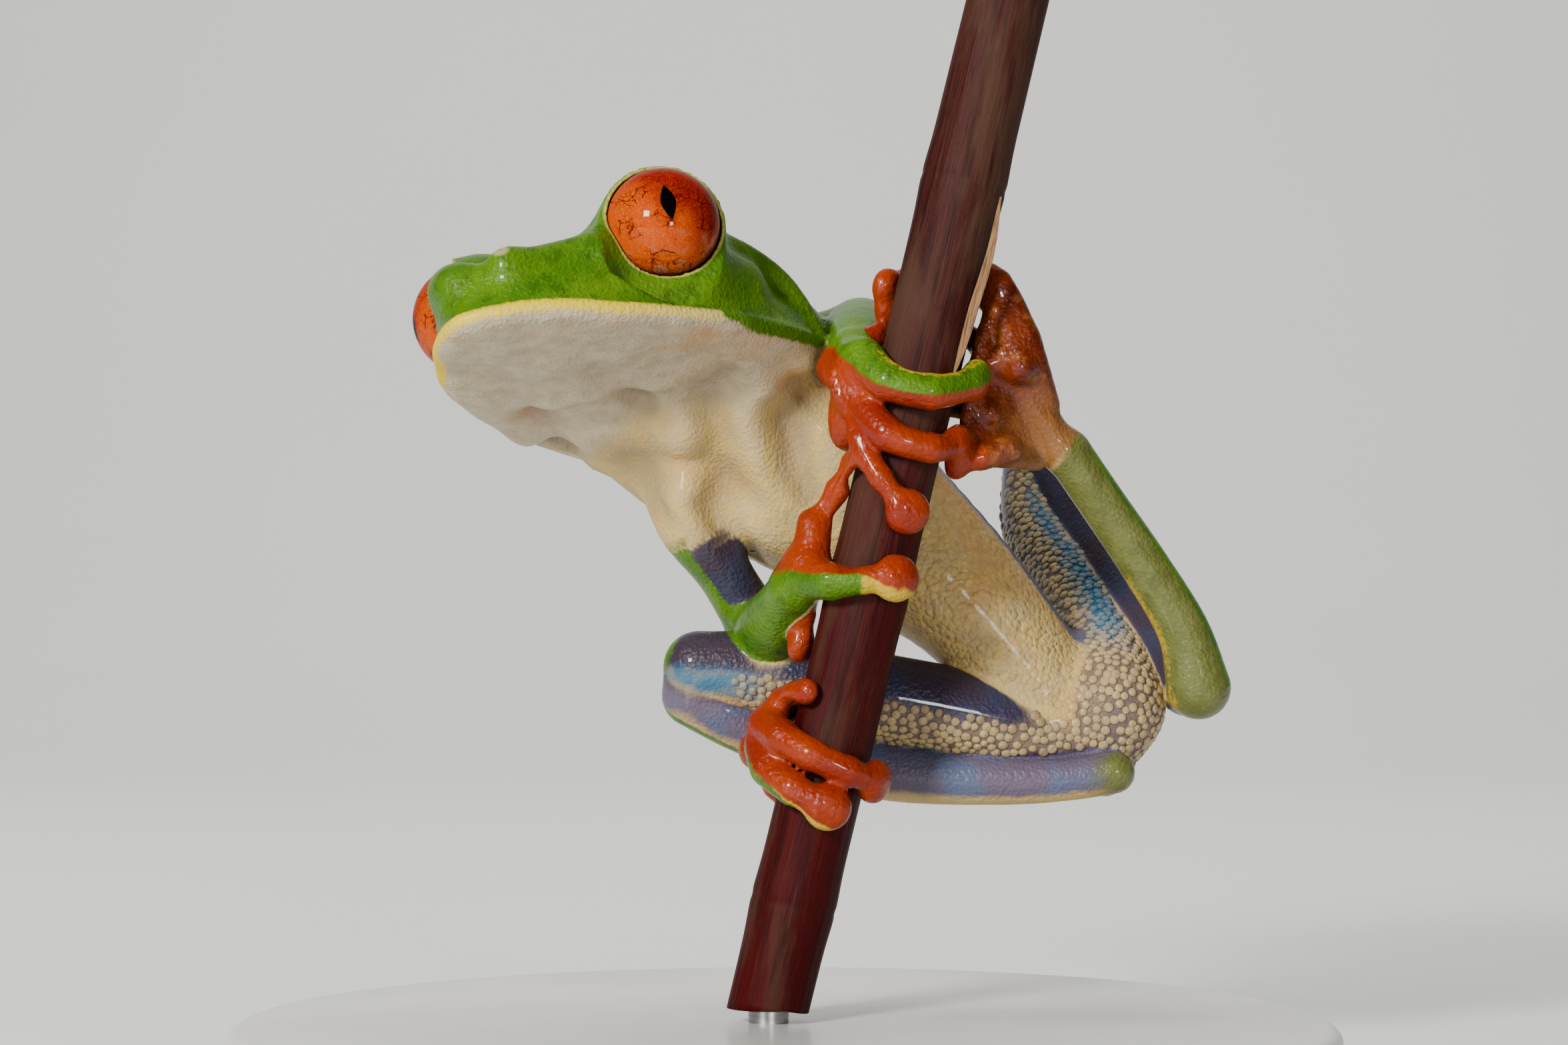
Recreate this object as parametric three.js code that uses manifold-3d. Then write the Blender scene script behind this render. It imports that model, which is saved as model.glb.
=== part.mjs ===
// Red-eyed tree frog at life size, clasping a short cut length of leaning plant stem, which a flat
// base and a short rod hold up. Millimetres, +Z up, +X to the frog's rump, -Y on the side that its
// belly and the stem's free face look towards. The origin is the centre of the base's underside.

import * as THREE from "three";
import { mergeVertices } from "three/addons/utils/BufferGeometryUtils.js";
import Module from "manifold-3d";

const wasm = await Module();
wasm.setup();

// ---- driving dimensions -------------------------------------------------------------------------

const GAP = 0.3; // clearance between neighbouring solids

const BASE = { radius: 30, thick: 4, bevel: 0.8 };
const ROD_RADIUS = 1.1;
// Heights along the stem are counted from its datum point. It runs down below that to a level cut.
const STEM = { datum: [-0.2, 0, 7.5], cut: 4.8, lean: 13.35, radius: 2.3, length: 54 };

const HEAD = {
  jaw: [-6.7, 6.2, 39.4], // midpoint between the two jaw joints, at the level of the lips
  forward: [-0.569, -0.817, 0.094],
  left: [0.79, -0.511, 0.338],
  length: 17.9, // jaw joints to snout tip
  halfWidth: 9.2,
  bluntness: 0.68, // exponent of the snout's outline from above
  crownTaper: 0.22, // how much narrower the top of the head is than the lips
  nape: -2.8, // the plane behind the jaw joints where the head meets the trunk
};
const EYE = { centre: [7.3, 6.9, 4.78], radius: 3.0, lid: 3.6, gaze: [0.66, 0.74, 0.05], set: 0.45 };

const SKIN = { green: 0x6f9a16, cream: 0xd9cdb4, blue: 0x7f86a3, orange: 0xd4590f, leaf: 0x9cae52 };

// ---- places on the stem -------------------------------------------------------------------------

const lean = THREE.MathUtils.degToRad(STEM.lean);
const stemDatum = new THREE.Vector3(...STEM.datum);
const stemUp = new THREE.Vector3(Math.sin(lean), 0, Math.cos(lean));
const stemRight = new THREE.Vector3(Math.cos(lean), 0, -Math.sin(lean));

// A direction square to the stem: 0 degrees is its right side, 90 its back, -90 its front.
function aroundStem(degrees) {
  const angle = THREE.MathUtils.degToRad(degrees);
  const out = stemRight.clone().multiplyScalar(Math.cos(angle));
  return out.add(new THREE.Vector3(0, Math.sin(angle), 0));
}

// A point `lift` above the bark at a height along the stem, as [x, y, z].
function grip(height, degrees, lift) {
  const point = stemDatum.clone().addScaledVector(stemUp, height);
  return point.addScaledVector(aroundStem(degrees), STEM.radius + lift).toArray();
}

// ---- shape makers -------------------------------------------------------------------------------

function toSolid(geometry) {
  geometry.deleteAttribute("normal");
  geometry.deleteAttribute("uv");
  const merged = mergeVertices(geometry, 1e-4);
  const vertProperties = merged.attributes.position.array;
  const triVerts = new Uint32Array(merged.index.array);
  return new wasm.Manifold(new wasm.Mesh({ numProp: 3, vertProperties, triVerts }));
}

function toGeometry(solid) {
  const mesh = solid.getMesh();
  const geometry = new THREE.BufferGeometry();
  geometry.setAttribute("position", new THREE.BufferAttribute(mesh.vertProperties, 3));
  geometry.setIndex(new THREE.BufferAttribute(mesh.triVerts, 1));
  const faceted = geometry.toNonIndexed();
  faceted.computeVertexNormals();
  return faceted;
}

// Closed surface through rings of equally many points, each end closed by a fan to its centre.
function loft(rings) {
  const sides = rings[0].length;
  const points = rings.flat();
  const faces = [];
  for (let k = 0; k + 1 < rings.length; k++) {
    for (let i = 0; i < sides; i++) {
      const [a, b] = [k * sides + i, k * sides + ((i + 1) % sides)];
      faces.push(a, b, b + sides, a, b + sides, a + sides);
    }
  }
  for (const [ring, start, flip] of [
    [rings[0], 0, true],
    [rings.at(-1), (rings.length - 1) * sides, false],
  ]) {
    const centre = new THREE.Vector3();
    ring.forEach((p) => centre.addScaledVector(p, 1 / sides));
    const hub = points.push(centre) - 1;
    for (let i = 0; i < sides; i++) {
      const [a, b] = [start + i, start + ((i + 1) % sides)];
      faces.push(...(flip ? [hub, b, a] : [hub, a, b]));
    }
  }
  const geometry = new THREE.BufferGeometry().setFromPoints(points);
  geometry.setIndex(faces);
  return toSolid(geometry);
}

// Smooth body part through stations [x, y, z, halfWidth, halfDepth] with rounded ends. Half-width is
// measured along `side`, and half-depth defaults to the half-width. `grow` fattens it all over.
function limb(stations, { side = [0, 1, 0], sides = 7, steps = 1, caps = [0.6, 0.93], grow = 0 } = {}) {
  const spine = new THREE.CatmullRomCurve3(stations.map((s) => new THREE.Vector3(s[0], s[1], s[2])));
  const girth = new THREE.CatmullRomCurve3(
    stations.map((s) => new THREE.Vector3(s[3], s[4] ?? s[3], 0)),
  );
  const count = (stations.length - 1) * steps;
  const sections = [];
  for (let k = 0; k <= count; k++) sections.push([k / count, 0, 1]);
  for (const bulge of caps) {
    const shrink = Math.sqrt(1 - bulge * bulge);
    sections.unshift([0, -bulge, shrink]);
    sections.push([1, bulge, shrink]);
  }
  const sideways = new THREE.Vector3(...side);
  const rings = sections.map(([t, bulge, shrink]) => {
    const along = spine.getTangent(t);
    const size = girth.getPoint(t);
    const width = size.x + grow;
    const depth = size.y + grow;
    const across = sideways.clone().addScaledVector(along, -sideways.dot(along)).normalize();
    const over = along.clone().cross(across);
    const centre = spine.getPoint(t).addScaledVector(along, bulge * Math.min(width, depth));
    return Array.from({ length: sides }, (_, i) => {
      const angle = (2 * Math.PI * i) / sides;
      return centre
        .clone()
        .addScaledVector(across, width * shrink * Math.cos(angle))
        .addScaledVector(over, depth * shrink * Math.sin(angle));
    });
  });
  return loft(rings);
}

// Round toe or finger pad that lies flat against the bark.
function toePad([height, degrees, lift, radius], grow) {
  const ball = new THREE.SphereGeometry(1, 7, 4);
  ball.scale(radius + grow, 0.62 * radius + grow, radius + grow);
  const out = aroundStem(degrees);
  const basis = new THREE.Matrix4().makeBasis(out.clone().cross(stemUp), out, stemUp);
  basis.setPosition(...grip(height, degrees, lift));
  return toSolid(ball.applyMatrix4(basis));
}

// Finger or toe: a slender limb over the bark, ending in its pad.
function digit(path, pad) {
  return (grow) => {
    const [height, degrees, lift, radius] = pad;
    const last = [...grip(height, degrees, lift), 0.6 * radius];
    const stations = path.map(([h, deg, up, r]) => [...grip(h, deg, up), r]);
    return limb([...stations, last], { side: [0.3, 0.2, 1], sides: 5, caps: [0.8], grow }).add(
      toePad(pad, grow),
    );
  };
}

// Skin stretched between two edge curves, as a closed sheet.
function web(edgeA, edgeB, thick, grow) {
  const [a, b] = [edgeA, edgeB].map(
    (edge) => new THREE.CatmullRomCurve3(edge.map((p) => new THREE.Vector3(...p))),
  );
  const [rows, half] = [5, thick / 2 + grow];
  const rings = [];
  for (let k = 0; k <= rows; k++) {
    const [p, q] = [a.getPoint(k / rows), b.getPoint(k / rows)];
    const across = q.clone().sub(p).normalize();
    const face = a.getTangent(k / rows).cross(across).normalize();
    const corner = (end, out, up) =>
      end.clone().addScaledVector(across, out * grow).addScaledVector(face, up * half);
    rings.push([corner(p, -1, -1), corner(q, 1, -1), corner(q, 1, 1), corner(p, -1, 1)]);
  }
  return loft(rings);
}

// ---- head, in its own axes: x forward, y left, z towards the crown -------------------------------

const headForward = new THREE.Vector3(...HEAD.forward).normalize();
const headLeft = new THREE.Vector3(...HEAD.left);
headLeft.addScaledVector(headForward, -headLeft.dot(headForward)).normalize();
const headCrown = headForward.clone().cross(headLeft);
const headPlace = new THREE.Matrix4().makeBasis(headForward, headLeft, headCrown);
headPlace.setPosition(...HEAD.jaw);

function profile(points) {
  return (x) => {
    const next = Math.max(1, points.findIndex((p) => p[0] >= x));
    const [[x0, y0], [x1, y1]] = [points[next - 1], points[next]];
    const t = THREE.MathUtils.clamp((x - x0) / (x1 - x0), 0, 1);
    return THREE.MathUtils.lerp(y0, y1, t);
  };
}

const crownHeight = profile([
  [-3, 5.4], [0, 5.9], [5, 6.6], [9, 6.5], [13, 5.0], [15, 4.6], [16.8, 3.9], [17.9, 2.0],
]);
const throatDepth = profile([
  [-3, 4.2], [0, 3.1], [5, 2.1], [10, 1.6], [14, 1.1], [17, 0.8], [17.9, 0.5],
]);
const mouthSag = profile([[0, -1.7], [4, -1.5], [8, -1.2], [12, -0.8], [14, -0.4], [16, -0.1], [18, 0]]);

// The head is tipped against the arm, so the mouth line sags less along its right side.
function mouthHeight(x, y) {
  return mouthSag(x) * (0.65 + 0.35 * THREE.MathUtils.clamp(y / 5, -1, 1));
}

// Half-width of the head seen from above: a blunt oval that narrows a little behind the jaw joints.
function jawHalfWidth(x) {
  if (x < 0) return HEAD.halfWidth - 0.6 * (x / HEAD.nape) ** 2;
  return HEAD.halfWidth * (1 - (x / HEAD.length) ** 2) ** HEAD.bluntness;
}

function headShell(grow) {
  const sides = 16;
  const stops = [HEAD.nape, 0, 3, 6, 9, 12, 14.5, 16, 17.1, 17.8];
  const rings = stops.map((x) => {
    const width = Math.max(jawHalfWidth(x), 0.6) + grow;
    return Array.from({ length: sides }, (_, i) => {
      const angle = (2 * Math.PI * i) / sides;
      const [c, s] = [Math.cos(angle), Math.sin(angle)];
      const upper = s > 0;
      const square = upper ? 0.72 : 0.95; // the crown is flat and the canthus sharp, the throat round
      const y = width * Math.sign(c) * Math.abs(c) ** square * (upper ? 1 - HEAD.crownTaper * s : 1);
      const mouth = mouthHeight(x, y);
      const height = (upper ? crownHeight(x) - mouth : throatDepth(x) + mouth) + grow;
      return new THREE.Vector3(x, y, mouth + height * Math.sign(s) * Math.abs(s) ** square);
    });
  });
  const ends = [rings[0], rings.at(-1)];
  [-grow, grow].forEach((shift, k) => ends[k].forEach((p) => (p.x += shift)));
  return loft(rings);
}

function eyeBall(mirror, radius) {
  const [x, y, z] = EYE.centre;
  return toSolid(new THREE.SphereGeometry(radius, 12, 7).translate(x, mirror * y, z));
}

// The eyelids' free edge is a round opening square to the gaze.
function eyeOpening(mirror) {
  const drum = new THREE.CylinderGeometry(EYE.lid + 1, EYE.lid + 1, 4, 12);
  drum.translate(0, 2 + EYE.set, 0);
  const gaze = new THREE.Vector3(EYE.gaze[0], mirror * EYE.gaze[1], EYE.gaze[2]).normalize();
  drum.applyQuaternion(new THREE.Quaternion().setFromUnitVectors(new THREE.Vector3(0, 1, 0), gaze));
  const [x, y, z] = EYE.centre;
  return toSolid(drum.translate(x, mirror * y, z));
}

function head(grow) {
  let shell = headShell(grow);
  for (const mirror of [1, -1]) shell = shell.add(eyeBall(mirror, EYE.lid + grow));
  if (grow === 0) for (const mirror of [1, -1]) shell = shell.subtract(eyeOpening(mirror));
  return shell.transform(headPlace.elements);
}

// Everything in front of the nape plane belongs to the head, so the trunk is cut off here.
const neckBlock = toSolid(
  new THREE.BoxGeometry(30, 40, 40).translate(15 + HEAD.nape - GAP, 0, 0).applyMatrix4(headPlace),
);

const eye = (mirror) => (grow) => eyeBall(mirror, EYE.radius + grow).transform(headPlace.elements);

// ---- perch and stand ----------------------------------------------------------------------------

// The bark swells a little at each leaf scar. The lower end is cut level to sit on its rod.
function stem(grow) {
  const scars = [3, 20.5, 43];
  const [rows, sides] = [9, 12];
  const lowest = (STEM.cut - STEM.datum[2]) / stemUp.z;
  const rings = [];
  for (let k = 0; k <= rows; k++) {
    const height = THREE.MathUtils.lerp(lowest, STEM.length, k / rows);
    const swell = scars.reduce((sum, at) => sum + 0.1 * Math.exp(-(((height - at) / 1.6) ** 2)), 0);
    const radius = STEM.radius - 0.1 + swell + grow;
    const shift = k === 0 ? -grow : k === rows ? grow : 0;
    rings.push(
      Array.from({ length: sides }, (_, i) => {
        const out = aroundStem((360 * i) / sides).multiplyScalar(radius);
        const point = stemDatum.clone().addScaledVector(stemUp, height + shift).add(out);
        if (k === 0) point.addScaledVector(stemUp, (STEM.cut - point.z) / stemUp.z);
        return point;
      }),
    );
  }
  return loft(rings);
}

const barkStrip = (grow) =>
  limb(
    [
      [...grip(33.6, -42, 0.5), 0.26],
      [...grip(36, -43, 0.62), 0.3],
      [...grip(38.6, -39, 0.62), 0.3],
      [...grip(42, -36, 0.5), 0.3],
    ],
    { side: [1, 0, 0], sides: 5, grow },
  );

// ---- trunk and limbs: stations are [x, y, z, halfWidth, halfDepth] -------------------------------

const trunk = (grow) =>
  limb(
    [
      [-4.8, 9.1, 39.2, 7.3, 5.7],
      [-2.8, 10.1, 37.3, 7.3, 5.9],
      [3.9, 10.2, 31.9, 5.2, 5.4],
      [9.7, 9.3, 27.2, 3.7, 4.4],
      [14.1, 8.9, 22.3, 3.1, 3.7],
      [16.6, 8.6, 20.4, 2.4, 2.8],
    ],
    { side: [0.6, -0.25, 0.75], sides: 14, steps: 2, grow },
  ).subtract(neckBlock);

const upperArmLeft = [[-0.4, 9.0, 39.8, 2.2], [2.2, 13.0, 41.2, 1.8], [4.4, 14.8, 41.9, 1.7]];
const forearmLeft = [
  [4.4, 14.6, 41.9, 1.8], [4.3, 9.0, 41.5, 2.1], [4.1, 4.2, 40.9, 1.6], [3.9, 1.6, 40.2, 1.4],
];
const upperArmRight = [[-5.2, 7.0, 32.0, 2.1], [-3.4, 7.7, 28.5, 1.6], [-1.4, 8.8, 24.9, 1.6]];
const forearmRight = [
  [-1.3, 8.8, 24.5, 1.7], [-0.6, 5.0, 25.2, 2.0], [0.1, 1.6, 26.6, 1.5], [0.5, 0.2, 27.4, 1.2],
];

const thighLeft = [
  [18.1, 8.0, 20.7, 3.1], [18.1, 12.6, 23.3, 2.75], [16.7, 18.2, 26.9, 2.4], [14.9, 24.0, 30.8, 1.95],
  [14.9, 27.6, 34.8, 1.7],
];
const shankLeft = [
  [15.0, 28.2, 36.0, 1.7], [17.9, 22.5, 31.4, 2.1], [20.4, 14.0, 25.8, 1.9],
  [22.4, 7.6, 21.6, 1.4],
];
const tarsusLeft = [
  [22.9, 5.4, 21.9, 1.8], [22.0, 5.0, 25.1, 1.45], [19.8, 4.5, 28.7, 1.35], [17.5, 3.8, 32.0, 1.3],
  [15.6, 3.0, 34.7, 1.3],
];
const thighRight = [
  [17.2, 8.4, 18.9, 2.5], [14.3, 7.4, 19.5, 2.3], [8.3, 6.6, 20.8, 2.4], [2.7, 6.2, 21.8, 2.4],
  [-2.1, 6.2, 22.8, 2.1], [-4.7, 6.4, 23.0, 2.0],
];
const shankRight = [
  [-5.0, 6.8, 21.4, 1.8], [-2.1, 6.8, 19.7, 1.6], [2.0, 6.8, 18.2, 1.6], [6.1, 6.6, 17.1, 1.6],
  [12.0, 6.0, 16.7, 1.35], [15.6, 5.6, 16.8, 1.2], [18.2, 5.4, 17.2, 1.2],
];
const tarsusRight = [
  [17.9, 7.9, 17.0, 1.2], [14.4, 9.4, 17.2, 1.3], [9.5, 10.2, 17.3, 1.25], [5.0, 9.0, 17.3, 1.2],
];

const footLeft = (grow) =>
  limb(
    [[15.1, 2.9, 35.1, 1.3, 1.1], [13.3, 2.4, 37.6, 1.3, 0.9], [12.0, 1.9, 39.6, 1.0, 0.8]],
    { grow },
  ).add(
    web(
      [[15.2, 2.8, 35.6], [13.6, 2.0, 39.0], [12.3, 1.6, 41.6], grip(38.2, 25, 0.8)],
      [[13.8, 2.4, 34.2], grip(28.9, 2, 1.6), grip(31.5, 5, 0.7), grip(35.5, 14, 0.7)],
      0.6,
      grow,
    ),
  );

const footRight = (grow) =>
  limb(
    [[4.4, 8.6, 17.3, 1.2], [2.0, 6.5, 17.6, 1.3], [-0.5, 4.2, 18.2, 1.3], [-1.4, 1.7, 18.6, 1.1]],
    { grow },
  );

const palmLeft = (grow) =>
  limb([[3.8, 1.2, 39.9, 1.4], [...grip(32.0, -172, 1.1), 1.4], [...grip(30.4, -168, 1.0), 1.3]], {
    grow,
  });
const palmRight = (grow) => limb([[0.5, 0.0, 27.5, 1.2], [...grip(20.7, -172, 1.2), 1.3]], { grow });

// Fingers and toes: path points and pads are [height, degrees, lift, radius] over the bark.
const digits = {
  finger_1_left: digit([[30.4, 178, 0.9, 0.8], [28.6, 152, 0.8, 0.65]], [27.2, 112, 0.75, 0.95]),
  finger_2_left: digit(
    [[30.2, -168, 0.9, 0.9], [28.1, -137, 0.75, 0.7], [26.4, -104, 0.7, 0.65]],
    [25.0, -70, 0.75, 1.25],
  ),
  finger_3_left: digit(
    [[30.4, -158, 0.9, 0.95], [28.8, -108, 0.8, 0.9], [28.6, -62, 0.75, 0.8]],
    [29.2, -22, 0.75, 1.05],
  ),
  finger_4_left: digit(
    [[32.4, -160, 1.1, 1.25], [31.5, -118, 0.95, 1.0], [31.5, -76, 0.85, 0.95]],
    [32.7, -14, 0.8, 1.2],
  ),
  finger_1_right: digit([[20.3, 172, 1.0, 0.85], [20.4, 128, 0.8, 0.65]], [20.8, 88, 0.75, 1.05]),
  finger_2_right: digit([[20.0, 176, 1.1, 0.9], [18.2, 162, 0.95, 0.7]], [16.6, 154, 0.8, 0.95]),
  finger_3_right: digit(
    [[21.2, -170, 1.2, 1.0], [23.4, -176, 1.1, 0.7], [25.3, -164, 0.9, 0.6]],
    [26.9, -148, 0.8, 0.9],
  ),
  finger_4_right: digit(
    [[20.3, -165, 1.0, 1.2], [20.5, -130, 0.9, 1.05], [21.0, -98, 0.8, 0.85]],
    [21.4, -66, 0.8, 1.3],
  ),
  toe_1_left: digit([[29.6, 3, 3.4, 0.85], [28.8, -2, 2.0, 0.7]], [28.2, -10, 0.85, 0.95]),
  toe_2_left: digit([[31.2, 8, 1.9, 0.75], [31.2, 50, 0.8, 0.6]], [30.9, 92, 0.75, 1.0]),
  toe_3_left: digit(
    [[34.0, 12, 1.5, 0.75], [35.2, 50, 0.75, 0.6], [34.6, 100, 0.7, 0.6]],
    [33.7, 148, 0.75, 0.95],
  ),
  toe_4_left: digit(
    [[34.0, 7, 3.0, 0.85], [36.7, 16, 1.3, 0.7], [37.6, 60, 0.75, 0.65], [36.6, 108, 0.7, 0.6]],
    [35.6, 138, 0.8, 1.0],
  ),
  toe_5_left: digit(
    [
      [32.4, 18, 5.2, 0.85], [35.6, 12, 3.0, 0.85], [38.3, 25, 1.1, 0.7], [38.7, 70, 0.75, 0.65],
      [37.8, 115, 0.7, 0.6],
    ],
    [36.7, 150, 0.9, 1.0],
  ),
  toe_1_right: digit([[12.0, 178, 1.5, 0.8], [13.6, -172, 0.9, 0.6]], [14.4, -134, 0.6, 0.75]),
  toe_2_right: digit([[12.0, 158, 1.3, 0.75], [13.4, 140, 0.75, 0.6]], [14.2, 108, 0.7, 0.9]),
  toe_3_right: digit([[10.4, 158, 1.4, 0.8], [8.8, 140, 0.8, 0.65]], [7.9, 108, 0.75, 1.0]),
  toe_4_right: digit(
    [[12.1, -172, 1.3, 1.05], [11.7, -145, 0.95, 0.95], [11.2, -108, 0.8, 0.85], [10.8, -68, 0.8, 0.8]],
    [10.5, -30, 0.8, 1.2],
  ),
  toe_5_right: digit(
    [[10.9, -178, 1.3, 1.0], [9.9, -154, 1.0, 1.0], [9.2, -118, 0.85, 0.9]],
    [8.7, -80, 0.8, 1.3],
  ),
};

// ---- assembly: an earlier piece keeps its shape, a later one is cut clear of it by GAP -----------

const segment = (stations) => (grow) => limb(stations, { grow });

const pieces = [
  ["perch_stem", stem, 0x7c4a44],
  ["perch_bark_strip", barkStrip, 0xb59c74],
  ["eye_left", eye(1), 0xb8340c],
  ["eye_right", eye(-1), 0xb8340c],
  ["head", head, SKIN.green],
  ["trunk", trunk, SKIN.cream],
  ["hand_left", palmLeft, SKIN.orange],
  ["hand_right", palmRight, SKIN.orange],
  ...Object.entries(digits).map(([name, build]) => [name, build, SKIN.orange]),
  ["foot_left", footLeft, SKIN.orange],
  ["foot_right", footRight, SKIN.orange],
  ["forearm_left", segment(forearmLeft), SKIN.green],
  ["forearm_right", segment(forearmRight), SKIN.green],
  ["upper_arm_left", segment(upperArmLeft), SKIN.blue],
  ["upper_arm_right", segment(upperArmRight), SKIN.blue],
  ["thigh_left", segment(thighLeft), SKIN.cream],
  ["thigh_right", segment(thighRight), SKIN.cream],
  ["shank_left", segment(shankLeft), SKIN.blue],
  ["shank_right", segment(shankRight), SKIN.blue],
  ["tarsus_left", segment(tarsusLeft), SKIN.leaf],
  ["tarsus_right", segment(tarsusRight), SKIN.leaf],
];

const model = new THREE.Group();

function place(name, geometry, color, roughness, metalness = 0) {
  const mesh = new THREE.Mesh(geometry, new THREE.MeshStandardMaterial({ color, roughness, metalness }));
  mesh.name = name;
  model.add(mesh);
}

const overlaps = (a, b) => a.min.every((low, i) => low < b.max[i] && b.min[i] < a.max[i]);

const done = [];
for (const [name, build, color] of pieces) {
  let solid = build(0);
  for (const other of done) {
    if (overlaps(solid.boundingBox(), other.box)) solid = solid.subtract(other.grown);
  }
  const grown = build(GAP);
  done.push({ grown, box: grown.boundingBox() });
  const largest = solid.decompose().sort((a, b) => b.volume() - a.volume())[0];
  place(name, toGeometry(largest), color, name.startsWith("perch") ? 0.8 : 0.35);
}

const { radius, thick, bevel } = BASE;
const baseProfile = [[0, 0], [radius, 0], [radius, thick - bevel], [radius - bevel, thick], [0, thick]];
const base = new THREE.LatheGeometry(baseProfile.map(([x, y]) => new THREE.Vector2(x, y)), 28);
place("stand_base", base.rotateX(Math.PI / 2), 0xd6d4ce, 0.4);

const rodLength = STEM.cut - thick;
const rod = new THREE.CylinderGeometry(ROD_RADIUS, ROD_RADIUS, rodLength, 12).rotateX(Math.PI / 2);
const rodX = STEM.datum[0] - (STEM.datum[2] - STEM.cut) * Math.tan(lean);
rod.translate(rodX, STEM.datum[1], thick + rodLength / 2);
place("stand_rod", rod, 0xb8b8b4, 0.3, 1);

export default model;
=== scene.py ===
"""A life-size red-eyed tree frog clasping a short cut stem, held up by a small display stand.
Everything is worked out in millimetres and handed to Blender in metres, in the part's frame."""

import bpy
import numpy as np
import openvdb
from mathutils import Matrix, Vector


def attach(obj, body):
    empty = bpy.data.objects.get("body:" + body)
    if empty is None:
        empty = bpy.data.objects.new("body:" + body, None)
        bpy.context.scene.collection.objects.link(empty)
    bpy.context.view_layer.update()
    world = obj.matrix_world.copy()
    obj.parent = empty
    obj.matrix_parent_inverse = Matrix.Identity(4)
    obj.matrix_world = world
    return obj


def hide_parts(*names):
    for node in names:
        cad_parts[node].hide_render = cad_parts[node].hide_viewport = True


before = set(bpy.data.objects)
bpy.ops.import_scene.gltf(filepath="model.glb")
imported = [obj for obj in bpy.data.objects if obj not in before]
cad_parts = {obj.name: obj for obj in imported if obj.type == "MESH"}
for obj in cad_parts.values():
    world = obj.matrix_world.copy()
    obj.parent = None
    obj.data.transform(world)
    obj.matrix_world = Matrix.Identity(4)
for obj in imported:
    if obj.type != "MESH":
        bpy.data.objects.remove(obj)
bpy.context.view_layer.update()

# ---- perch ---------------------------------------------------------------------------------------
# A cut length of a living plant stem, about as thick as a pencil stub. Its maroon bark is thin and
# finely fibrous, with grey weathered streaks, and a pale pith shows at the upper cut.

MM = 0.001
STEM_FOOT = np.array([-0.2, 0.0, 7.5])
STEM_CUT = 4.8
STEM_LEAN = np.radians(13.35)
STEM_RADIUS = 2.3
STEM_LENGTH = 54.0
STEM_BELOW = 2.77
LEAF_SCARS = (3.0, 20.5, 43.0)
stem_up = np.array([np.sin(STEM_LEAN), 0.0, np.cos(STEM_LEAN)])
stem_right = np.array([np.cos(STEM_LEAN), 0.0, -np.sin(STEM_LEAN)])
stem_back = np.array([0.0, 1.0, 0.0])


def linear(red, green, blue):
    """A colour given in 0 to 255 display values, as the linear colour that a shader takes."""
    share = np.array([red, green, blue]) / 255
    light = np.where(share < 0.04045, share / 12.92, ((share + 0.055) / 1.055) ** 2.4)
    return (*light.tolist(), 1.0)


class Value:
    """A number that varies over a surface. Arithmetic on it adds Math nodes."""

    def __init__(self, finish, socket):
        self.finish = finish
        self.socket = socket

    def join(self, operation, first, second):
        return self.finish.node("ShaderNodeMath", {"operation": operation}, {0: first, 1: second})

    def __add__(self, other):
        return self.join("ADD", self, other)

    def __radd__(self, other):
        return self.join("ADD", other, self)

    def __sub__(self, other):
        return self.join("SUBTRACT", self, other)

    def __rsub__(self, other):
        return self.join("SUBTRACT", other, self)

    def __mul__(self, other):
        return self.join("MULTIPLY", self, other)

    def __rmul__(self, other):
        return self.join("MULTIPLY", other, self)

    def __truediv__(self, other):
        return self.join("DIVIDE", self, other)

    def __pow__(self, other):
        return self.join("POWER", self, other)

    def __abs__(self):
        return self.join("ABSOLUTE", self, 0)

    def over(self, other):
        return self.join("MAXIMUM", self, other)

    def under(self, other):
        return self.join("MINIMUM", self, other)

    def between(self, low, high):
        """0 below low, 1 above high and smooth between them."""
        inputs = {0: self, 1: low, 2: high}
        return self.finish.node("ShaderNodeMapRange", {"interpolation_type": "SMOOTHSTEP"}, inputs)


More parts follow.
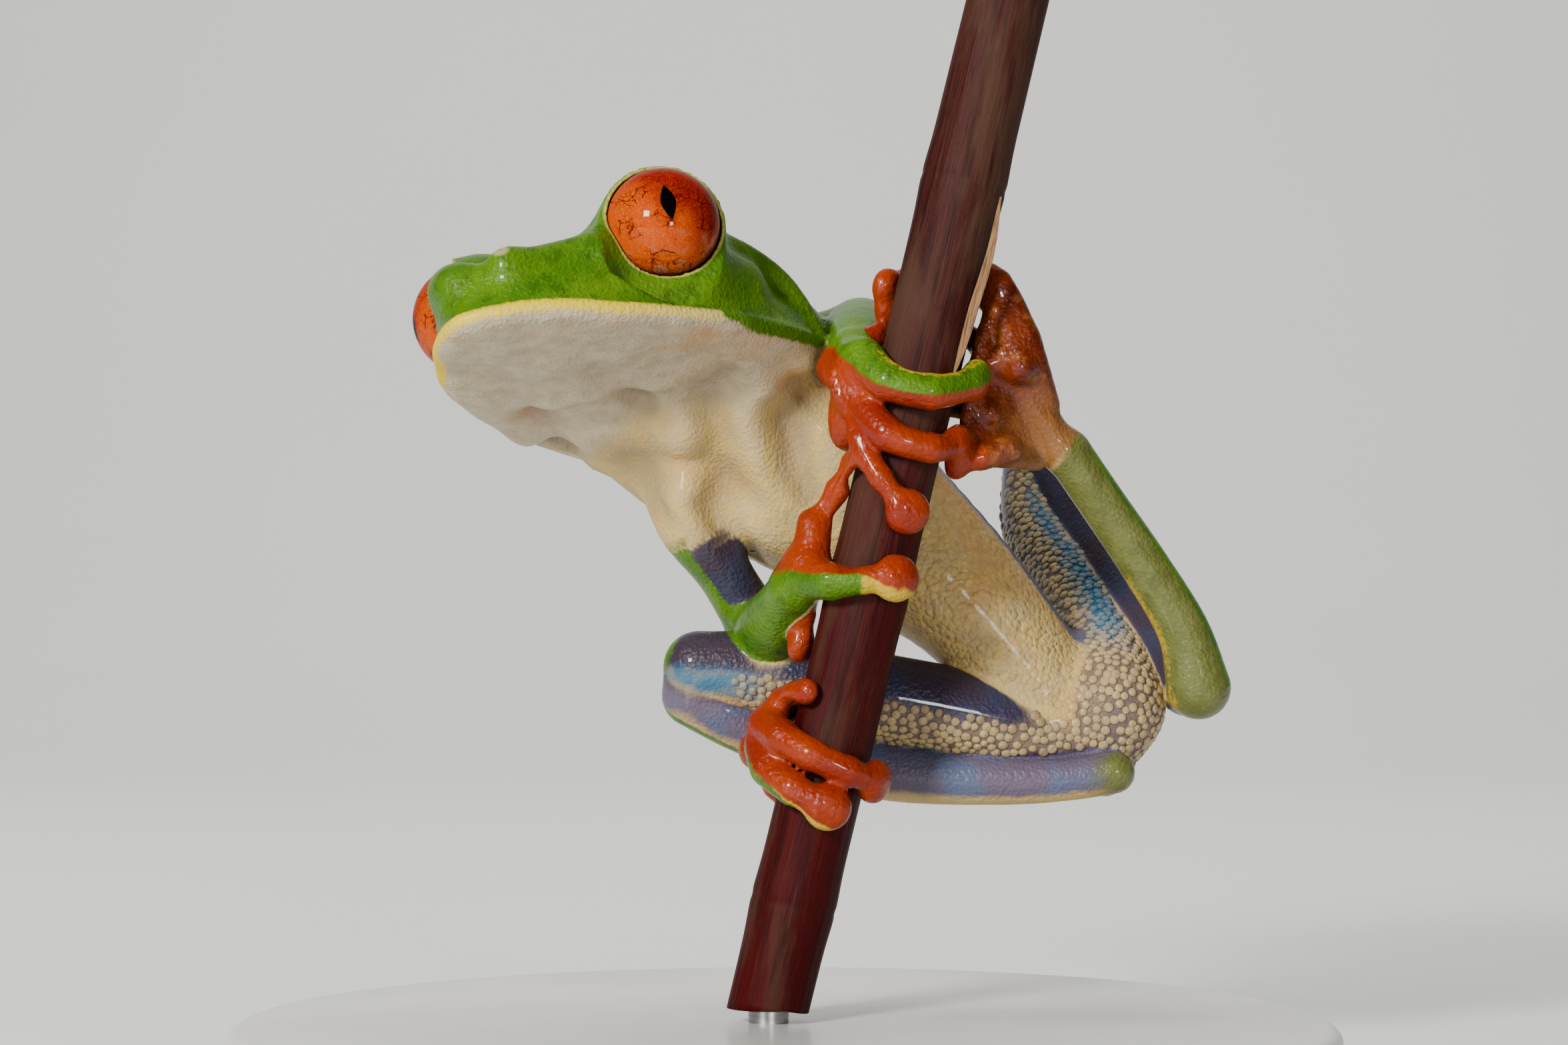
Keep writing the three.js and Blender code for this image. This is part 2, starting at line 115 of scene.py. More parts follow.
class Finish:
    """A material and the nodes that give it its colour, gloss and grain."""

    def __init__(self, name, **constants):
        self.material = bpy.data.materials.new(name)
        self.material.use_nodes = True
        self.tree = self.material.node_tree
        self.surface = self.tree.nodes["Principled BSDF"]
        for socket, value in constants.items():
            self.surface.inputs[socket.replace("_", " ")].default_value = value

    def node(self, kind, settings, inputs, output=0):
        made = self.tree.nodes.new(kind)
        for name, value in settings.items():
            setattr(made, name, value)
        for name, value in inputs.items():
            if isinstance(value, Value):
                self.tree.links.new(value.socket, made.inputs[name])
            else:
                made.inputs[name].default_value = value
        return Value(self, made.outputs[output])

    def marking(self, name):
        """A value stored at the mesh's points."""
        return self.node("ShaderNodeAttribute", {"attribute_name": name}, {}, "Fac")

    def place(self):
        """The point on the surface, in millimetres."""
        spot = self.node("ShaderNodeTexCoord", {}, {}, "Object")
        return self.vector("SCALE", spot, scale=1 / MM)

    def vector(self, operation, first, second=(0, 0, 0), scale=1.0):
        inputs = {0: first, 1: second, 3: scale}
        return self.node("ShaderNodeVectorMath", {"operation": operation}, inputs)

    def dot(self, first, second):
        inputs = {0: first, 1: second}
        return self.node("ShaderNodeVectorMath", {"operation": "DOT_PRODUCT"}, inputs, "Value")

    def stack(self, x, y, z):
        return self.node("ShaderNodeCombineXYZ", {}, {0: x, 1: y, 2: z})

    def noise(self, where, size, detail=2.0, rough=0.5):
        """Cloudy noise from 0 to 1, with clouds of that size in millimetres."""
        inputs = {"Vector": where, "Scale": 1 / size, "Detail": detail, "Roughness": rough}
        return self.node("ShaderNodeTexNoise", {}, inputs, "Fac")

    def cells(self, where, size, feature="F1"):
        """Distance from the middle of the nearest cell, or from its edge, in cell sizes."""
        inputs = {"Vector": where, "Scale": 1 / size}
        return self.node("ShaderNodeTexVoronoi", {"feature": feature}, inputs, "Distance")

    def mix(self, share, first, second):
        """The second colour over the first, by that share. Plain colours are display values."""
        first, second = (linear(*c) if isinstance(c, tuple) else c for c in (first, second))
        settings = {"data_type": "RGBA"}
        return self.node("ShaderNodeMix", settings, {0: share, 6: first, 7: second}, 2)

    def apply(self, colour, roughness=None, coat=None, relief=None):
        """Links the finished colour and gloss, and a relief in millimetres."""
        links = {"Base Color": colour, "Roughness": roughness, "Coat Weight": coat}
        if relief is not None:
            inputs = {"Height": relief, "Strength": 1.0, "Distance": MM}
            links["Normal"] = self.node("ShaderNodeBump", {}, inputs)
        for name, value in links.items():
            if value is not None:
                self.tree.links.new(value.socket, self.surface.inputs[name])
        return self.material


def make_piece(name, points, faces, material, markings=None):
    """A smooth mesh from points in millimetres, with values stored at its points."""
    mesh = bpy.data.meshes.new(name)
    mesh.from_pydata((np.asarray(points) * MM).tolist(), [], np.asarray(faces).tolist())
    mesh.polygons.foreach_set("use_smooth", [True] * len(mesh.polygons))
    for marking, values in (markings or {}).items():
        layer = mesh.attributes.new(marking, "FLOAT", "POINT")
        layer.data.foreach_set("value", np.asarray(values, np.float32))
    mesh.materials.append(material)
    piece = bpy.data.objects.new(name, mesh)
    bpy.context.scene.collection.objects.link(piece)
    return piece


def skinned_rings(rings):
    """Quads round and along rings of equally many points, with both ends left open."""
    rows, sides = rings.shape[:2]
    k, i = np.meshgrid(np.arange(rows - 1), np.arange(sides), indexing="ij")
    a, b = k * sides + i, k * sides + (i + 1) % sides
    return np.stack([a, b, b + sides, a + sides], -1).reshape(-1, 4)


def bark_finish():
    finish = Finish("maroon_bark", Specular_IOR_Level=0.1)
    spot = finish.place()
    across = finish.dot(spot, tuple(stem_right))
    height = finish.dot(spot, tuple(stem_up))
    depth = finish.dot(spot, tuple(stem_back))
    grain = finish.stack(across, depth, height * 0.05)
    streak = finish.noise(grain, 0.5, 6.0, 0.65)
    fibre = finish.noise(finish.stack(across, depth, height * 0.03), 0.12, 3.0)
    patch = finish.noise(finish.stack(across, depth, height * 0.25), 2.6, 4.0, 0.6)
    fleck = finish.noise(finish.stack(across, depth, height * 0.5), 0.35, 2.0)
    upper = height.between(22, 52)
    colour = finish.mix(upper, (58, 0, 0), (54, 20, 14))
    colour = finish.mix(streak.between(0.42, 0.62) * 0.7, colour, (28, 2, 3))
    weathered = patch.between(0.46, 0.64) * (0.45 + upper * 0.4)
    colour = finish.mix(weathered, colour, (68, 46, 34))
    colour = finish.mix(fibre.between(0.55, 0.75) * 0.35, colour, (76, 38, 30))
    blotch = fleck.between(0.63, 0.7) * patch.between(0.6, 0.4)
    colour = finish.mix(blotch * 0.75, colour, (40, 0, 0))
    upper_cut = float(STEM_LENGTH + STEM_FOOT @ stem_up)
    cut = height.between(upper_cut, upper_cut + 0.05)
    colour = finish.mix(cut, colour, (196, 176, 138))
    roughness = 0.58 + weathered * 0.22 - fibre * 0.1
    relief = streak * 0.07 + fibre * 0.045 + patch * 0.05
    return finish.apply(colour, roughness, relief=relief)


def stem_surface():
    """Rings from the lower cut up to the upper one, closed by a shallow cut face at each end."""
    rows, sides = 270, 96
    height = np.linspace(-STEM_BELOW, STEM_LENGTH, rows)
    angle = np.linspace(0, 2 * np.pi, sides, endpoint=False)
    swell = sum(0.1 * np.exp(-(((height - scar) / 1.6) ** 2)) for scar in LEAF_SCARS)
    scar_lines = sum(0.05 * np.exp(-(((height - scar) / 0.22) ** 2)) for scar in LEAF_SCARS)
    radius = (STEM_RADIUS - 0.1 + swell - scar_lines)[:, None] + np.zeros(sides)
    ribs = np.sin(17 * angle + 0.4) + 0.7 * np.sin(29 * angle + 2.0) + 0.5 * np.sin(41 * angle)
    wander = np.sin(height / 5.3)[:, None] + np.sin(height[:, None] / 8.1 + 3 * angle[None, :])
    radius = radius + 0.012 * ribs[None, :] + 0.03 * wander
    out = np.cos(angle)[:, None] * stem_right + np.sin(angle)[:, None] * stem_back
    rings = STEM_FOOT + height[:, None, None] * stem_up + radius[..., None] * out
    level = (STEM_CUT - rings[0, :, 2]) / stem_up[2]
    rings[0] += level[:, None] * stem_up
    ends = []
    for ring, sink in ((rings[0], 0.0), (rings[-1], -0.15)):
        middle = ring.mean(0)
        steps = [middle + (ring - middle) * share + stem_up * sink for share in (0.93, 0.4, 0.05)]
        ends.append(steps)
    whole = np.stack([*ends[0][::-1], *rings, *ends[1]])
    whole[:3, :, 2] = STEM_CUT
    return whole


stem_rings = stem_surface()
stem = make_piece("stem_bark", stem_rings.reshape(-1, 3), skinned_rings(stem_rings), bark_finish())
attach(stem, "root")
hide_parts("perch_stem")

# ---- dry strip -----------------------------------------------------------------------------------
# A sliver of dead leaf sheath, dry and straw-coloured. It has peeled from the bark, and it stays
# attached along its lower half.


def grip(height, degrees, lift):
    """The point `lift` above the bark, at a height along the stem and an angle round it."""
    angle = np.radians(degrees)
    out = np.cos(angle) * stem_right + np.sin(angle) * stem_back
    return STEM_FOOT + height * stem_up + (STEM_RADIUS + lift) * out


def spline(rows, steps):
    """Points on a smooth curve through the rows, with `steps` of them to each gap."""
    rows = np.asarray(rows, float)
    padded = np.vstack([2 * rows[0] - rows[1], rows, 2 * rows[-1] - rows[-2]])
    share = (np.arange(steps) / steps)[:, None]
    spans = []
    for a, b, c, d in zip(padded, padded[1:], padded[2:], padded[3:]):
        curve = 2 * b + (c - a) * share + (2 * a - 5 * b + 4 * c - d) * share**2
        spans.append(0.5 * (curve + (3 * b - a - 3 * c + d) * share**3))
    return np.vstack([*spans, rows[-1:]])


def straw_finish():
    finish = Finish("dry_sheath", Roughness=0.75, Specular_IOR_Level=0.25)
    spot = finish.place()
    across = finish.dot(spot, tuple(stem_right))
    height = finish.dot(spot, tuple(stem_up))
    fibre = finish.noise(finish.stack(across, 0.0, height * 0.06), 0.09, 4.0, 0.6)
    colour = finish.mix(fibre.between(0.35, 0.7), (140, 104, 66), (74, 48, 32))
    return finish.apply(colour, relief=fibre * 0.06)


def sheath_strip():
    """A thin curled band: each ring is a flat loop that tapers to a point at both ends."""
    places = [
        (32.6, -42, 0.1),
        (34.5, -43, 0.3),
        (36.5, -43, 0.42),
        (39.5, -39, 0.5),
        (42.6, -35, 0.2),
    ]
    line = spline([grip(*place) for place in places], 10)
    share = np.linspace(0, 1, len(line))
    half = 0.28 * np.sin(np.pi * np.clip(share, 0.02, 0.98)) ** 0.6
    angle = np.linspace(0, 2 * np.pi, 12, endpoint=False)
    side = np.array([0.93, -0.33, -0.2])
    face = np.array([0.3, -0.95, 0.05])
    curl = 0.12 * np.cos(2 * angle)
    wave = np.cos(angle)[None, :] * half[:, None]
    thick = 0.1 * np.sin(angle)[None, :] + curl[None, :] * half[:, None] * 2
    return line[:, None, :] + wave[..., None] * side + thick[..., None] * face


strip_rings = sheath_strip()
strip = make_piece(
    "dry_sheath_strip", strip_rings.reshape(-1, 3), skinned_rings(strip_rings), straw_finish()
)
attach(strip, "root")
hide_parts("perch_bark_strip")

# ---- eyes ----------------------------------------------------------------------------------------
# Two large glassy balls set in the sides of the head, with a scarlet iris that turns orange below,
# branching dark veins and a narrow upright pupil. A thin clear coat gives them their hard shine.

HEAD_JAW = np.array([-6.7, 6.2, 39.4])
head_forward = np.array([-0.569, -0.817, 0.094])
head_forward /= np.linalg.norm(head_forward)
head_left = np.array([0.79, -0.511, 0.338])
head_left -= head_forward * (head_left @ head_forward)
head_left /= np.linalg.norm(head_left)
head_crown = np.cross(head_forward, head_left)
head_axes = np.stack([head_forward, head_left, head_crown])
EYE_CENTRE = np.array([7.3, 6.9, 4.78])
EYE_RADIUS = 3.08
PUPIL_AXIS = np.array([0.72, 0.69, 0.04])


def from_head(place, mirror=1):
    """A point given forward, left and up from the jaw's middle, in the frog's frame."""
    return HEAD_JAW + (np.asarray(place, float) * (1, mirror, 1)) @ head_axes


def iris_finish(name, centre, axis, side, up):
    gloss = dict(Coat_Weight=0.24, Coat_Roughness=0.015)
    finish = Finish(name, Roughness=0.5, Specular_IOR_Level=0.02, **gloss)
    out = finish.vector("SUBTRACT", finish.place(), tuple(centre))
    out = finish.vector("SCALE", out, scale=1 / EYE_RADIUS)
    across = finish.dot(out, tuple(side))
    height = finish.dot(out, tuple(up))
    ahead = finish.dot(out, tuple(axis))
    warp = finish.noise(out, 0.35, 3.0)
    warm = (0.36 - height * 0.55 - across * 0.75 + (warp - 0.5) * 0.9).between(0.0, 0.9)
    colour = finish.mix(warm, (120, 3, 0), (172, 58, 0))
    speck = finish.noise(out, 0.03, 3.0, 0.7)
    glow = speck.between(0.46, 0.72) * (0.25 + warm * 0.55)
    colour = finish.mix(glow, colour, (194, 108, 0))
    ash = finish.noise(out, 0.22, 3.0).between(0.5, 0.64) * (0 - height).between(0.42, 0.62)
    colour = finish.mix(ash * 0.7, colour, (150, 96, 70))
    bent = finish.vector("ADD", out, finish.stack(warp * 0.5, warp * 0.3, warp * 0.4))
    coarse = finish.cells(bent, 0.42, "DISTANCE_TO_EDGE")
    fine = finish.cells(bent, 0.16, "DISTANCE_TO_EDGE")
    region = finish.noise(out, 0.55, 2.0).between(0.4, 0.55)
    veins = coarse.between(0.045, 0.0) * region + fine.between(0.07, 0.0) * region * 0.7
    colour = finish.mix(veins.under(1) * 0.9, colour, (70, 4, 0))
    low_rim = ahead.between(0.36, 0.06) * (across * 0.6 - height + 0.25).between(0.0, 0.7)
    colour = finish.mix(low_rim.over(ahead.between(0.2, 0.06)), colour, (20, 7, 6))
    slim = abs(across) / 0.135 + (abs(height - 0.02) / 0.34) ** 1.6
    halo = slim.between(1.9, 1.0)
    colour = finish.mix(halo * 0.35, colour, (96, 6, 0))
    colour = finish.mix(slim.between(1.04, 0.98) * ahead.between(0, 0.1), colour, (2, 1, 1))
    return finish.apply(colour)


for eye_name, mirror in (("left", 1), ("right", -1)):
    centre = from_head(EYE_CENTRE, mirror)
    axis = (PUPIL_AXIS * (1, mirror, 1)) @ head_axes
    axis /= np.linalg.norm(axis)
    up = head_crown - axis * (head_crown @ axis)
    up /= np.linalg.norm(up)
    side = np.cross(up, axis) * mirror
    bpy.ops.mesh.primitive_uv_sphere_add(
        segments=96, ring_count=64, radius=EYE_RADIUS * MM, location=centre * MM
    )
    ball = bpy.context.object
    ball.name = "eyeball_" + eye_name
    ball.data.transform(ball.matrix_world)
    ball.matrix_world.identity()
    ball.data.polygons.foreach_set("use_smooth", [True] * len(ball.data.polygons))
    ball.data.materials.append(iris_finish("iris_" + eye_name, centre, axis, side, up))
    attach(ball, "root")
    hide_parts("eye_" + eye_name)

# ---- trunk ---------------------------------------------------------------------------------------
# The soft body, from the neck to the rump. The back is green, the flanks are blue, and the chest
# and belly are cream. All flesh is summed in one grid of distances from the surface.

FAR = 3.0  # distances are only worked out this close to a part
LAYERS = "green blue dusk orange yellow granule pebble leaf teal membrane".split()
BARE, FULL = -1.5, 1.5  # a marking's value where it is absent, and where it is strongest


class Tube:
    """Flesh round a bent line. Stations are x, y, z, half-width along `side` and half-depth."""

    def __init__(self, stations, side=(0, 1, 0), steps=5, knuckle=0.0, **paint):
        rows = np.array([s if len(s) == 5 else (*s, s[3]) for s in stations], float)
        self.line = spline(rows, steps)
        self.line[steps:-1:steps, 3:] += knuckle
        self.side = np.array(side, float)
        self.paint = paint
        reach = self.line[:, 3:].max() + FAR
        self.low = self.line[:, :3].min(0) - reach
        self.high = self.line[:, :3].max(0) + reach

    def links(self):
        """Each short piece of the line: its two ends, across and over vectors and place along."""
        count = len(self.line) - 1
        for k, (a, b) in enumerate(zip(self.line, self.line[1:])):
            run = b[:3] - a[:3]
            along = run / np.linalg.norm(run)
            across = self.side - along * (self.side @ along)
            across /= np.linalg.norm(across)
            yield a, b, along, across, np.cross(along, across), k / count, 1 / count

    def near(self, x, y, z, link):
        """Distance, place along and outward vector, for one short piece of the line."""
        a, b, along, across, over, start, step = link
        run = b[:3] - a[:3]
        share = ((x - a[0]) * run[0] + (y - a[1]) * run[1] + (z - a[2]) * run[2]) / (run @ run)
        share = np.clip(share, 0, 1)
        dx, dy, dz = x - a[0] - share * run[0], y - a[1] - share * run[1], z - a[2] - share * run[2]
        width = a[3] + share * (b[3] - a[3])
        depth = a[4] + share * (b[4] - a[4])
        u = dx * across[0] + dy * across[1] + dz * across[2]
        v = dx * over[0] + dy * over[1] + dz * over[2]
        w = dx * along[0] + dy * along[1] + dz * along[2]
        end = np.minimum(width, depth)
        level = np.sqrt((u / width) ** 2 + (v / depth) ** 2 + (w / end) ** 2) + 1e-6
        slope = np.sqrt((u / width**2) ** 2 + (v / depth**2) ** 2 + (w / end**2) ** 2) / level
        distance = (level - 1) / np.maximum(slope, 0.02)
        return distance, start + share * step, (dx / width, dy / width, dz / width)

    def field(self, x, y, z):
        """Distance from the surface over a block of the grid."""
        total = np.full(np.broadcast_shapes(x.shape, y.shape, z.shape), FAR, np.float32)
        for link in self.links():
            a, b = link[0], link[1]
            reach = max(*a[3:], *b[3:]) + FAR
            low = np.minimum(a, b)[:3] - reach
            high = np.maximum(a, b)[:3] + reach
            cut = []
            for axis, line in enumerate((x.ravel(), y.ravel(), z.ravel())):
                cut.append(slice(*np.searchsorted(line, (low[axis], high[axis]))))
            block = self.near(x[cut[0]], y[:, cut[1]], z[:, :, cut[2]], link)[0]
            total[tuple(cut)] = np.minimum(total[tuple(cut)], block)
        return total

    def at(self, points):
        """Distance, place along and outward vector at a list of points."""
        best = np.full(len(points), FAR * 2)
        place = np.zeros(len(points))
        out = np.zeros((len(points), 3))
        for link in self.links():
            distance, along, outward = self.near(*points.T, link)
            nearer = distance < best
            best[nearer] = distance[nearer]
            place[nearer] = along[nearer]
            out[nearer] = np.stack(outward, 1)[nearer]
        return best, place, out


def joined(first, second, soft):
    """The lesser of two distances, with a fillet of that softness where they meet."""
    overlap = np.maximum(soft - np.abs(first - second), 0) / soft
    return np.minimum(first, second) - overlap**2 * soft / 4


class Flesh:
    """The whole animal as a grid of distances from its surface, and the parts summed into it."""

    def __init__(self, low, high, cell):
        self.low = np.array(low, float)
        self.cell = cell
        counts = np.ceil((np.array(high) - self.low) / cell).astype(int)
        self.grid = np.full(counts, FAR, np.float32)
        self.parts = []

    def block(self, low, high):
        cut = []
        lines = []
        for axis in range(3):
            first = max(int((low[axis] - self.low[axis]) / self.cell), 0)
            last = min(int((high[axis] - self.low[axis]) / self.cell) + 2, self.grid.shape[axis])
            cut.append(slice(first, last))
            lines.append(self.low[axis] + self.cell * np.arange(first, last, dtype=np.float32))
        x, y, z = lines
        return tuple(cut), (x[:, None, None], y[None, :, None], z[None, None, :])

    def add(self, part, crease=0.16, joints=()):
        """Adds a part. It meets the others in a crease, and in a soft fillet round each joint."""
        cut, (x, y, z) = self.block(part.low, part.high)
        new = part.field(x, y, z)
        soft = np.float32(crease)
        for (jx, jy, jz), reach, fillet in joints:
            away = ((x - jx) ** 2 + (y - jy) ** 2 + (z - jz) ** 2) / reach**2
            soft = soft + (fillet - crease) * np.exp(-away)
        self.grid[cut] = joined(self.grid[cut], new, soft)
        self.parts.append(part)

    def carve(self, part, soft):
        """Takes a part's volume away, with a rounded edge."""
        cut, (x, y, z) = self.block(part.low, part.high)
        self.grid[cut] = -joined(-self.grid[cut], part.field(x, y, z), soft)


def facing(x, y, z, beyond=0.0, since=-9.0, until=9.0, size=1.6):
    """A marking on the side of a limb that faces a direction, between two places along it."""
    way = np.array([x, y, z], float)
    way /= np.linalg.norm(way)

    def marking(along, out):
        value = (out @ way - beyond) * size
        return np.minimum(value, np.minimum(along - since, until - along) * 4)

    return marking


def line_facing(x, y, z, half, since=-9.0, until=9.0):
    """A narrow marking along the line where a limb's side turns to face a direction."""
    way = np.array([x, y, z], float)
    way /= np.linalg.norm(way)

    def marking(along, out):
        value = half - np.sqrt(np.maximum(1.02 - np.clip(out @ way, -1, 1), 0)) * 1.4
        return np.minimum(value, np.minimum(along - since, until - along) * 4)

    return marking


def all_over(along, out):
    return np.full(len(along), FULL)


CELL = 0.25
flesh = Flesh((-31, -19, 10), (28, 33, 56), CELL)
trunk = Tube(
    [
        (-5.6, 7.8, 39.6, 6.9, 5.0),
        (-2.8, 10.0, 37.3, 7.3, 5.9),
        (3.9, 10.2, 31.9, 5.2, 5.4),
        (9.7, 9.3, 27.2, 3.8, 4.4),
        (14.1, 8.9, 22.3, 3.1, 3.7),
        (16.6, 8.6, 20.4, 2.4, 2.8),
    ],
    side=(0.6, -0.25, 0.75),
    steps=6,
    green=facing(0.18, 0.96, 0.18, 0.35, size=4),
    blue=facing(0.18, 0.96, 0.18, -0.05, since=0.3, size=4),
    pebble=facing(-0.18, -0.96, -0.18, -0.4, since=0.35, size=1.2),
)
flesh.add(trunk)

# ---- head ----------------------------------------------------------------------------------------
# Broad and flat-topped, with an eye turret on each side. A raised yellow upper lip fades to cream
# towards the corner of the mouth, below a green cheek, and the throat's thin skin hangs under it.

HEAD_LENGTH = 17.9
HEAD_HALF_WIDTH = 9.2
NAPE = 2.8
LIP_HEIGHT = 0.42
NOSTRIL = (15.8, 2.2, 3.75)


class Profile:
    """A smoothly varying height along the head, from heights at a few places."""

    def __init__(self, places, heights):
        self.x = np.arange(-8, 20, 0.1)
        rough = np.interp(self.x, places, heights)
        bell = np.exp(-(np.linspace(-2, 2, 21) ** 2))
        padded = np.pad(rough, 10, mode="edge")
        self.height = np.convolve(padded, bell / bell.sum(), mode="valid")

    def __call__(self, x):
        return np.interp(x, self.x, self.height)


class Head:
    """The skull, cheeks and lips, with rounded-square sections over an oval plan."""

    crown = Profile((-6, 0, 5, 9, 13, 15, 16.9, 17.9), (5.0, 5.9, 6.5, 6.2, 4.8, 4.3, 3.7, 2.0))
    throat = Profile((-6, -3, 0, 5, 10, 14, 17, 17.9), (4.9, 4.2, 3.1, 2.1, 1.6, 1.1, 0.8, 0.5))
    mouth = Profile((-6, 0, 4, 8, 12, 14, 16, 18), (-1.8, -1.7, -1.5, -1.2, -0.8, -0.4, -0.1, 0))
    low = np.array([-29.0, -14.0, 31.0])
    high = np.array([5.0, 17.0, 52.0])

    def local(self, x, y, z):
        dx, dy, dz = x - HEAD_JAW[0], y - HEAD_JAW[1], z - HEAD_JAW[2]
        return [dx * way[0] + dy * way[1] + dz * way[2] for way in head_axes]

    def plan(self, x, y, width):
        """0 on the midline between the jaw joints and 1 at the jaw's outline."""
        ahead = np.clip(x, 0, None) / HEAD_LENGTH
        behind = np.clip(-x, 0, 5) / NAPE
        side = np.abs(y) / (width * (1 - 0.06 * behind**2))
        return (ahead**2 + side**1.47) ** 0.68

    def lips(self, x, y):
        """Height of the mouth line, which sags less along the right side."""
        return self.mouth(x) * (0.65 + 0.35 * np.clip(y / 5, -1, 1))

    def level(self, x, y, z):
        mouth = self.lips(x, y)
        z = z - mouth
        crown = self.crown(x) - mouth
        rise = np.clip(z / crown, 0, 1) ** 1.39
        power = np.where(z > 0, 2.78, 2.1)
        height = np.where(z > 0, crown, self.throat(x) + mouth)
        plan = self.plan(x, y, HEAD_HALF_WIDTH * (1 - 0.22 * rise))
        return (plan**power + (np.abs(z) / height) ** power) ** (1 / power) - 1

    def outside(self, level, x, y, z):
        """Turns a level into a distance, by dividing it by its slope."""
        step = 0.05
        here = level(x, y, z)
        slope = np.sqrt(
            (level(x + step, y, z) - here) ** 2
            + (level(x, y + step, z) - here) ** 2
            + (level(x, y, z + step) - here) ** 2
        )
        return here / np.maximum(slope / step, 0.05)

    def jaw(self, x, y, z):
        """How far a point is outside the jaw's outline, seen from above."""
        return self.outside(lambda a, b, c: self.plan(a, b, HEAD_HALF_WIDTH) - 1 + 0 * c, x, y, z)

    def field(self, x, y, z):
        x, y, z = self.local(x, y, z)
        shell = self.outside(self.level, x, y, z)
        shell = -joined(-shell, x + 3.6, 2.4)
        z = z - self.lips(x, y)
        lip = np.hypot(self.jaw(x, y, z) + 0.16, z - LIP_HEIGHT) - 0.37
        lip = np.maximum(lip, -1.5 - x)
        groove = np.hypot(self.jaw(x, y, z) - 0.02, z + 0.2) - 0.2
        groove = np.maximum(groove, -2.5 - x)
        return -joined(-joined(shell, lip, 0.3), groove, 0.2)

    def at(self, points):
        return self.field(*points.T), np.zeros(len(points)), np.zeros((len(points), 3))


head = Head()
flesh.add(head, crease=1.6)


def head_tube(places, radius, mirror=1):
    return Tube([(*from_head(place, mirror), radius) for place in places])


class Opening:
    """The round gap between the eyelids, with room for the eyeball."""

    def __init__(self, centre, gaze):
        self.centre, self.gaze = centre, gaze
        self.low, self.high = centre - 6, centre + 6

    def field(self, x, y, z):
        dx, dy, dz = x - self.centre[0], y - self.centre[1], z - self.centre[2]
        ahead = dx * self.gaze[0] + dy * self.gaze[1] + dz * self.gaze[2]
        away = np.sqrt(dx * dx + dy * dy + dz * dz)
        return np.minimum(away - EYE_RADIUS - 0.02, np.maximum(0.5 - ahead, away - 5.2))


hollows = [((13.4, -3.6, -3.5), 3.2), ((9.0, -6.0, -4.6), 2.6)]
for place, radius in hollows:
    middle = from_head(place)
    flesh.carve(Tube([(*middle, radius), (*(middle + 0.1), radius)]), 1.4)
for mirror in (1, -1):
    centre = from_head(EYE_CENTRE, mirror)
    gaze = (np.array([0.66, 0.74, 0.05]) * (1, mirror, 1)) @ head_axes
    gaze /= np.linalg.norm(gaze)
    turret = Tube([(*centre, 3.42), (*(centre - gaze * 0.8), 3.5)])
    flesh.add(turret, crease=2.0)
    cheek = head_tube([(9.5, 6.4, 2.2), (6.0, 7.2, 1.9), (2.5, 7.6, 1.9)], 1.3, mirror)
    flesh.add(cheek, crease=1.6)
    flesh.carve(Opening(centre, gaze), 0.12)
    flesh.add(head_tube([(15.5, 2.0, 3.3), (15.2, 2.1, 3.35)], 0.5, mirror), crease=0.9)
    canthus = [(11.0, 4.7, 3.6), (13.2, 3.1, 3.3), (14.8, 1.9, 2.9)]
    flesh.add(head_tube(canthus, 0.75, mirror), crease=2.0)
    fold = [(3.8, 7.4, 4.4), (1.4, 7.9, 3.6), (-0.8, 8.3, 2.2), (-2.3, 8.4, 0.3), (-3.0, 8.3, -1.2)]
    flesh.add(head_tube(fold, 0.6, mirror), crease=0.8)
flesh.add(head_tube([(16.0, -0.8, 3.15), (14.8, -1.6, 3.35), (13.4, -2.5, 3.5)], 0.85), crease=2.0)
head_parts = flesh.parts[1:]

# ---- arms ----------------------------------------------------------------------------------------
# Slender arms that reach round the stem, blue on the inside and green outside. A yellow edge runs
# down each forearm to an orange wrist.

shoulder_left, elbow_left, wrist_left = (0.6, 10.4, 40.2), (4.4, 14.7, 41.9), (3.9, 1.4, 40.2)
shoulder_right, elbow_right, wrist_right = (-5.2, 7.2, 31.8), (-1.4, 8.8, 24.7), (0.5, 0.2, 27.4)

upper_arm_left = Tube(
    [(-0.4, 9.0, 39.8, 2.2), (2.2, 13.0, 41.2, 1.8), (4.4, 14.8, 41.9, 1.7)],
    green=facing(0, -0.3, 0.95, -0.6),
    blue=all_over,
)
forearm_left = Tube(
    [(4.4, 14.6, 41.9, 1.8), (4.3, 9.0, 41.5, 2.1), (4.1, 4.2, 40.9, 1.65), (3.9, 1.6, 40.2, 1.4)],
    green=facing(0.1, -0.3, 1.0, -0.45),
    blue=facing(-0.7, -0.3, -0.6, -0.1),
    yellow=line_facing(0.8, -0.5, 0.0, 0.5, since=0.5),
    orange=facing(-0.1, 0, -1, 0.3, since=0.8),
)
upper_arm_right = Tube(
    [(-5.6, 7.0, 32.4, 2.3), (-3.4, 7.7, 28.5, 1.65), (-1.4, 8.8, 24.9, 1.6)],
    green=facing(-1.0, 0.3, -0.35, 0.25, since=0.2),
    dusk=facing(0.8, -0.5, 0.3, -0.5),
    blue=facing(0.8, -0.5, 0.3, -0.75, since=0.22),
)
forearm_right = Tube(
    [(-1.3, 8.8, 24.5, 1.7), (-0.6, 5.0, 25.2, 2.0), (0.1, 1.6, 26.6, 1.5), (0.5, 0.2, 27.4, 1.2)],
    green=facing(-1.0, -0.2, -0.2, -0.65),
    yellow=line_facing(0.95, -0.3, 0.0, 0.75),
    orange=facing(0.4, -0.2, 0.9, 0.5, since=0.75),
)
flesh.add(upper_arm_left, joints=[(shoulder_left, 3.5, 1.8)])
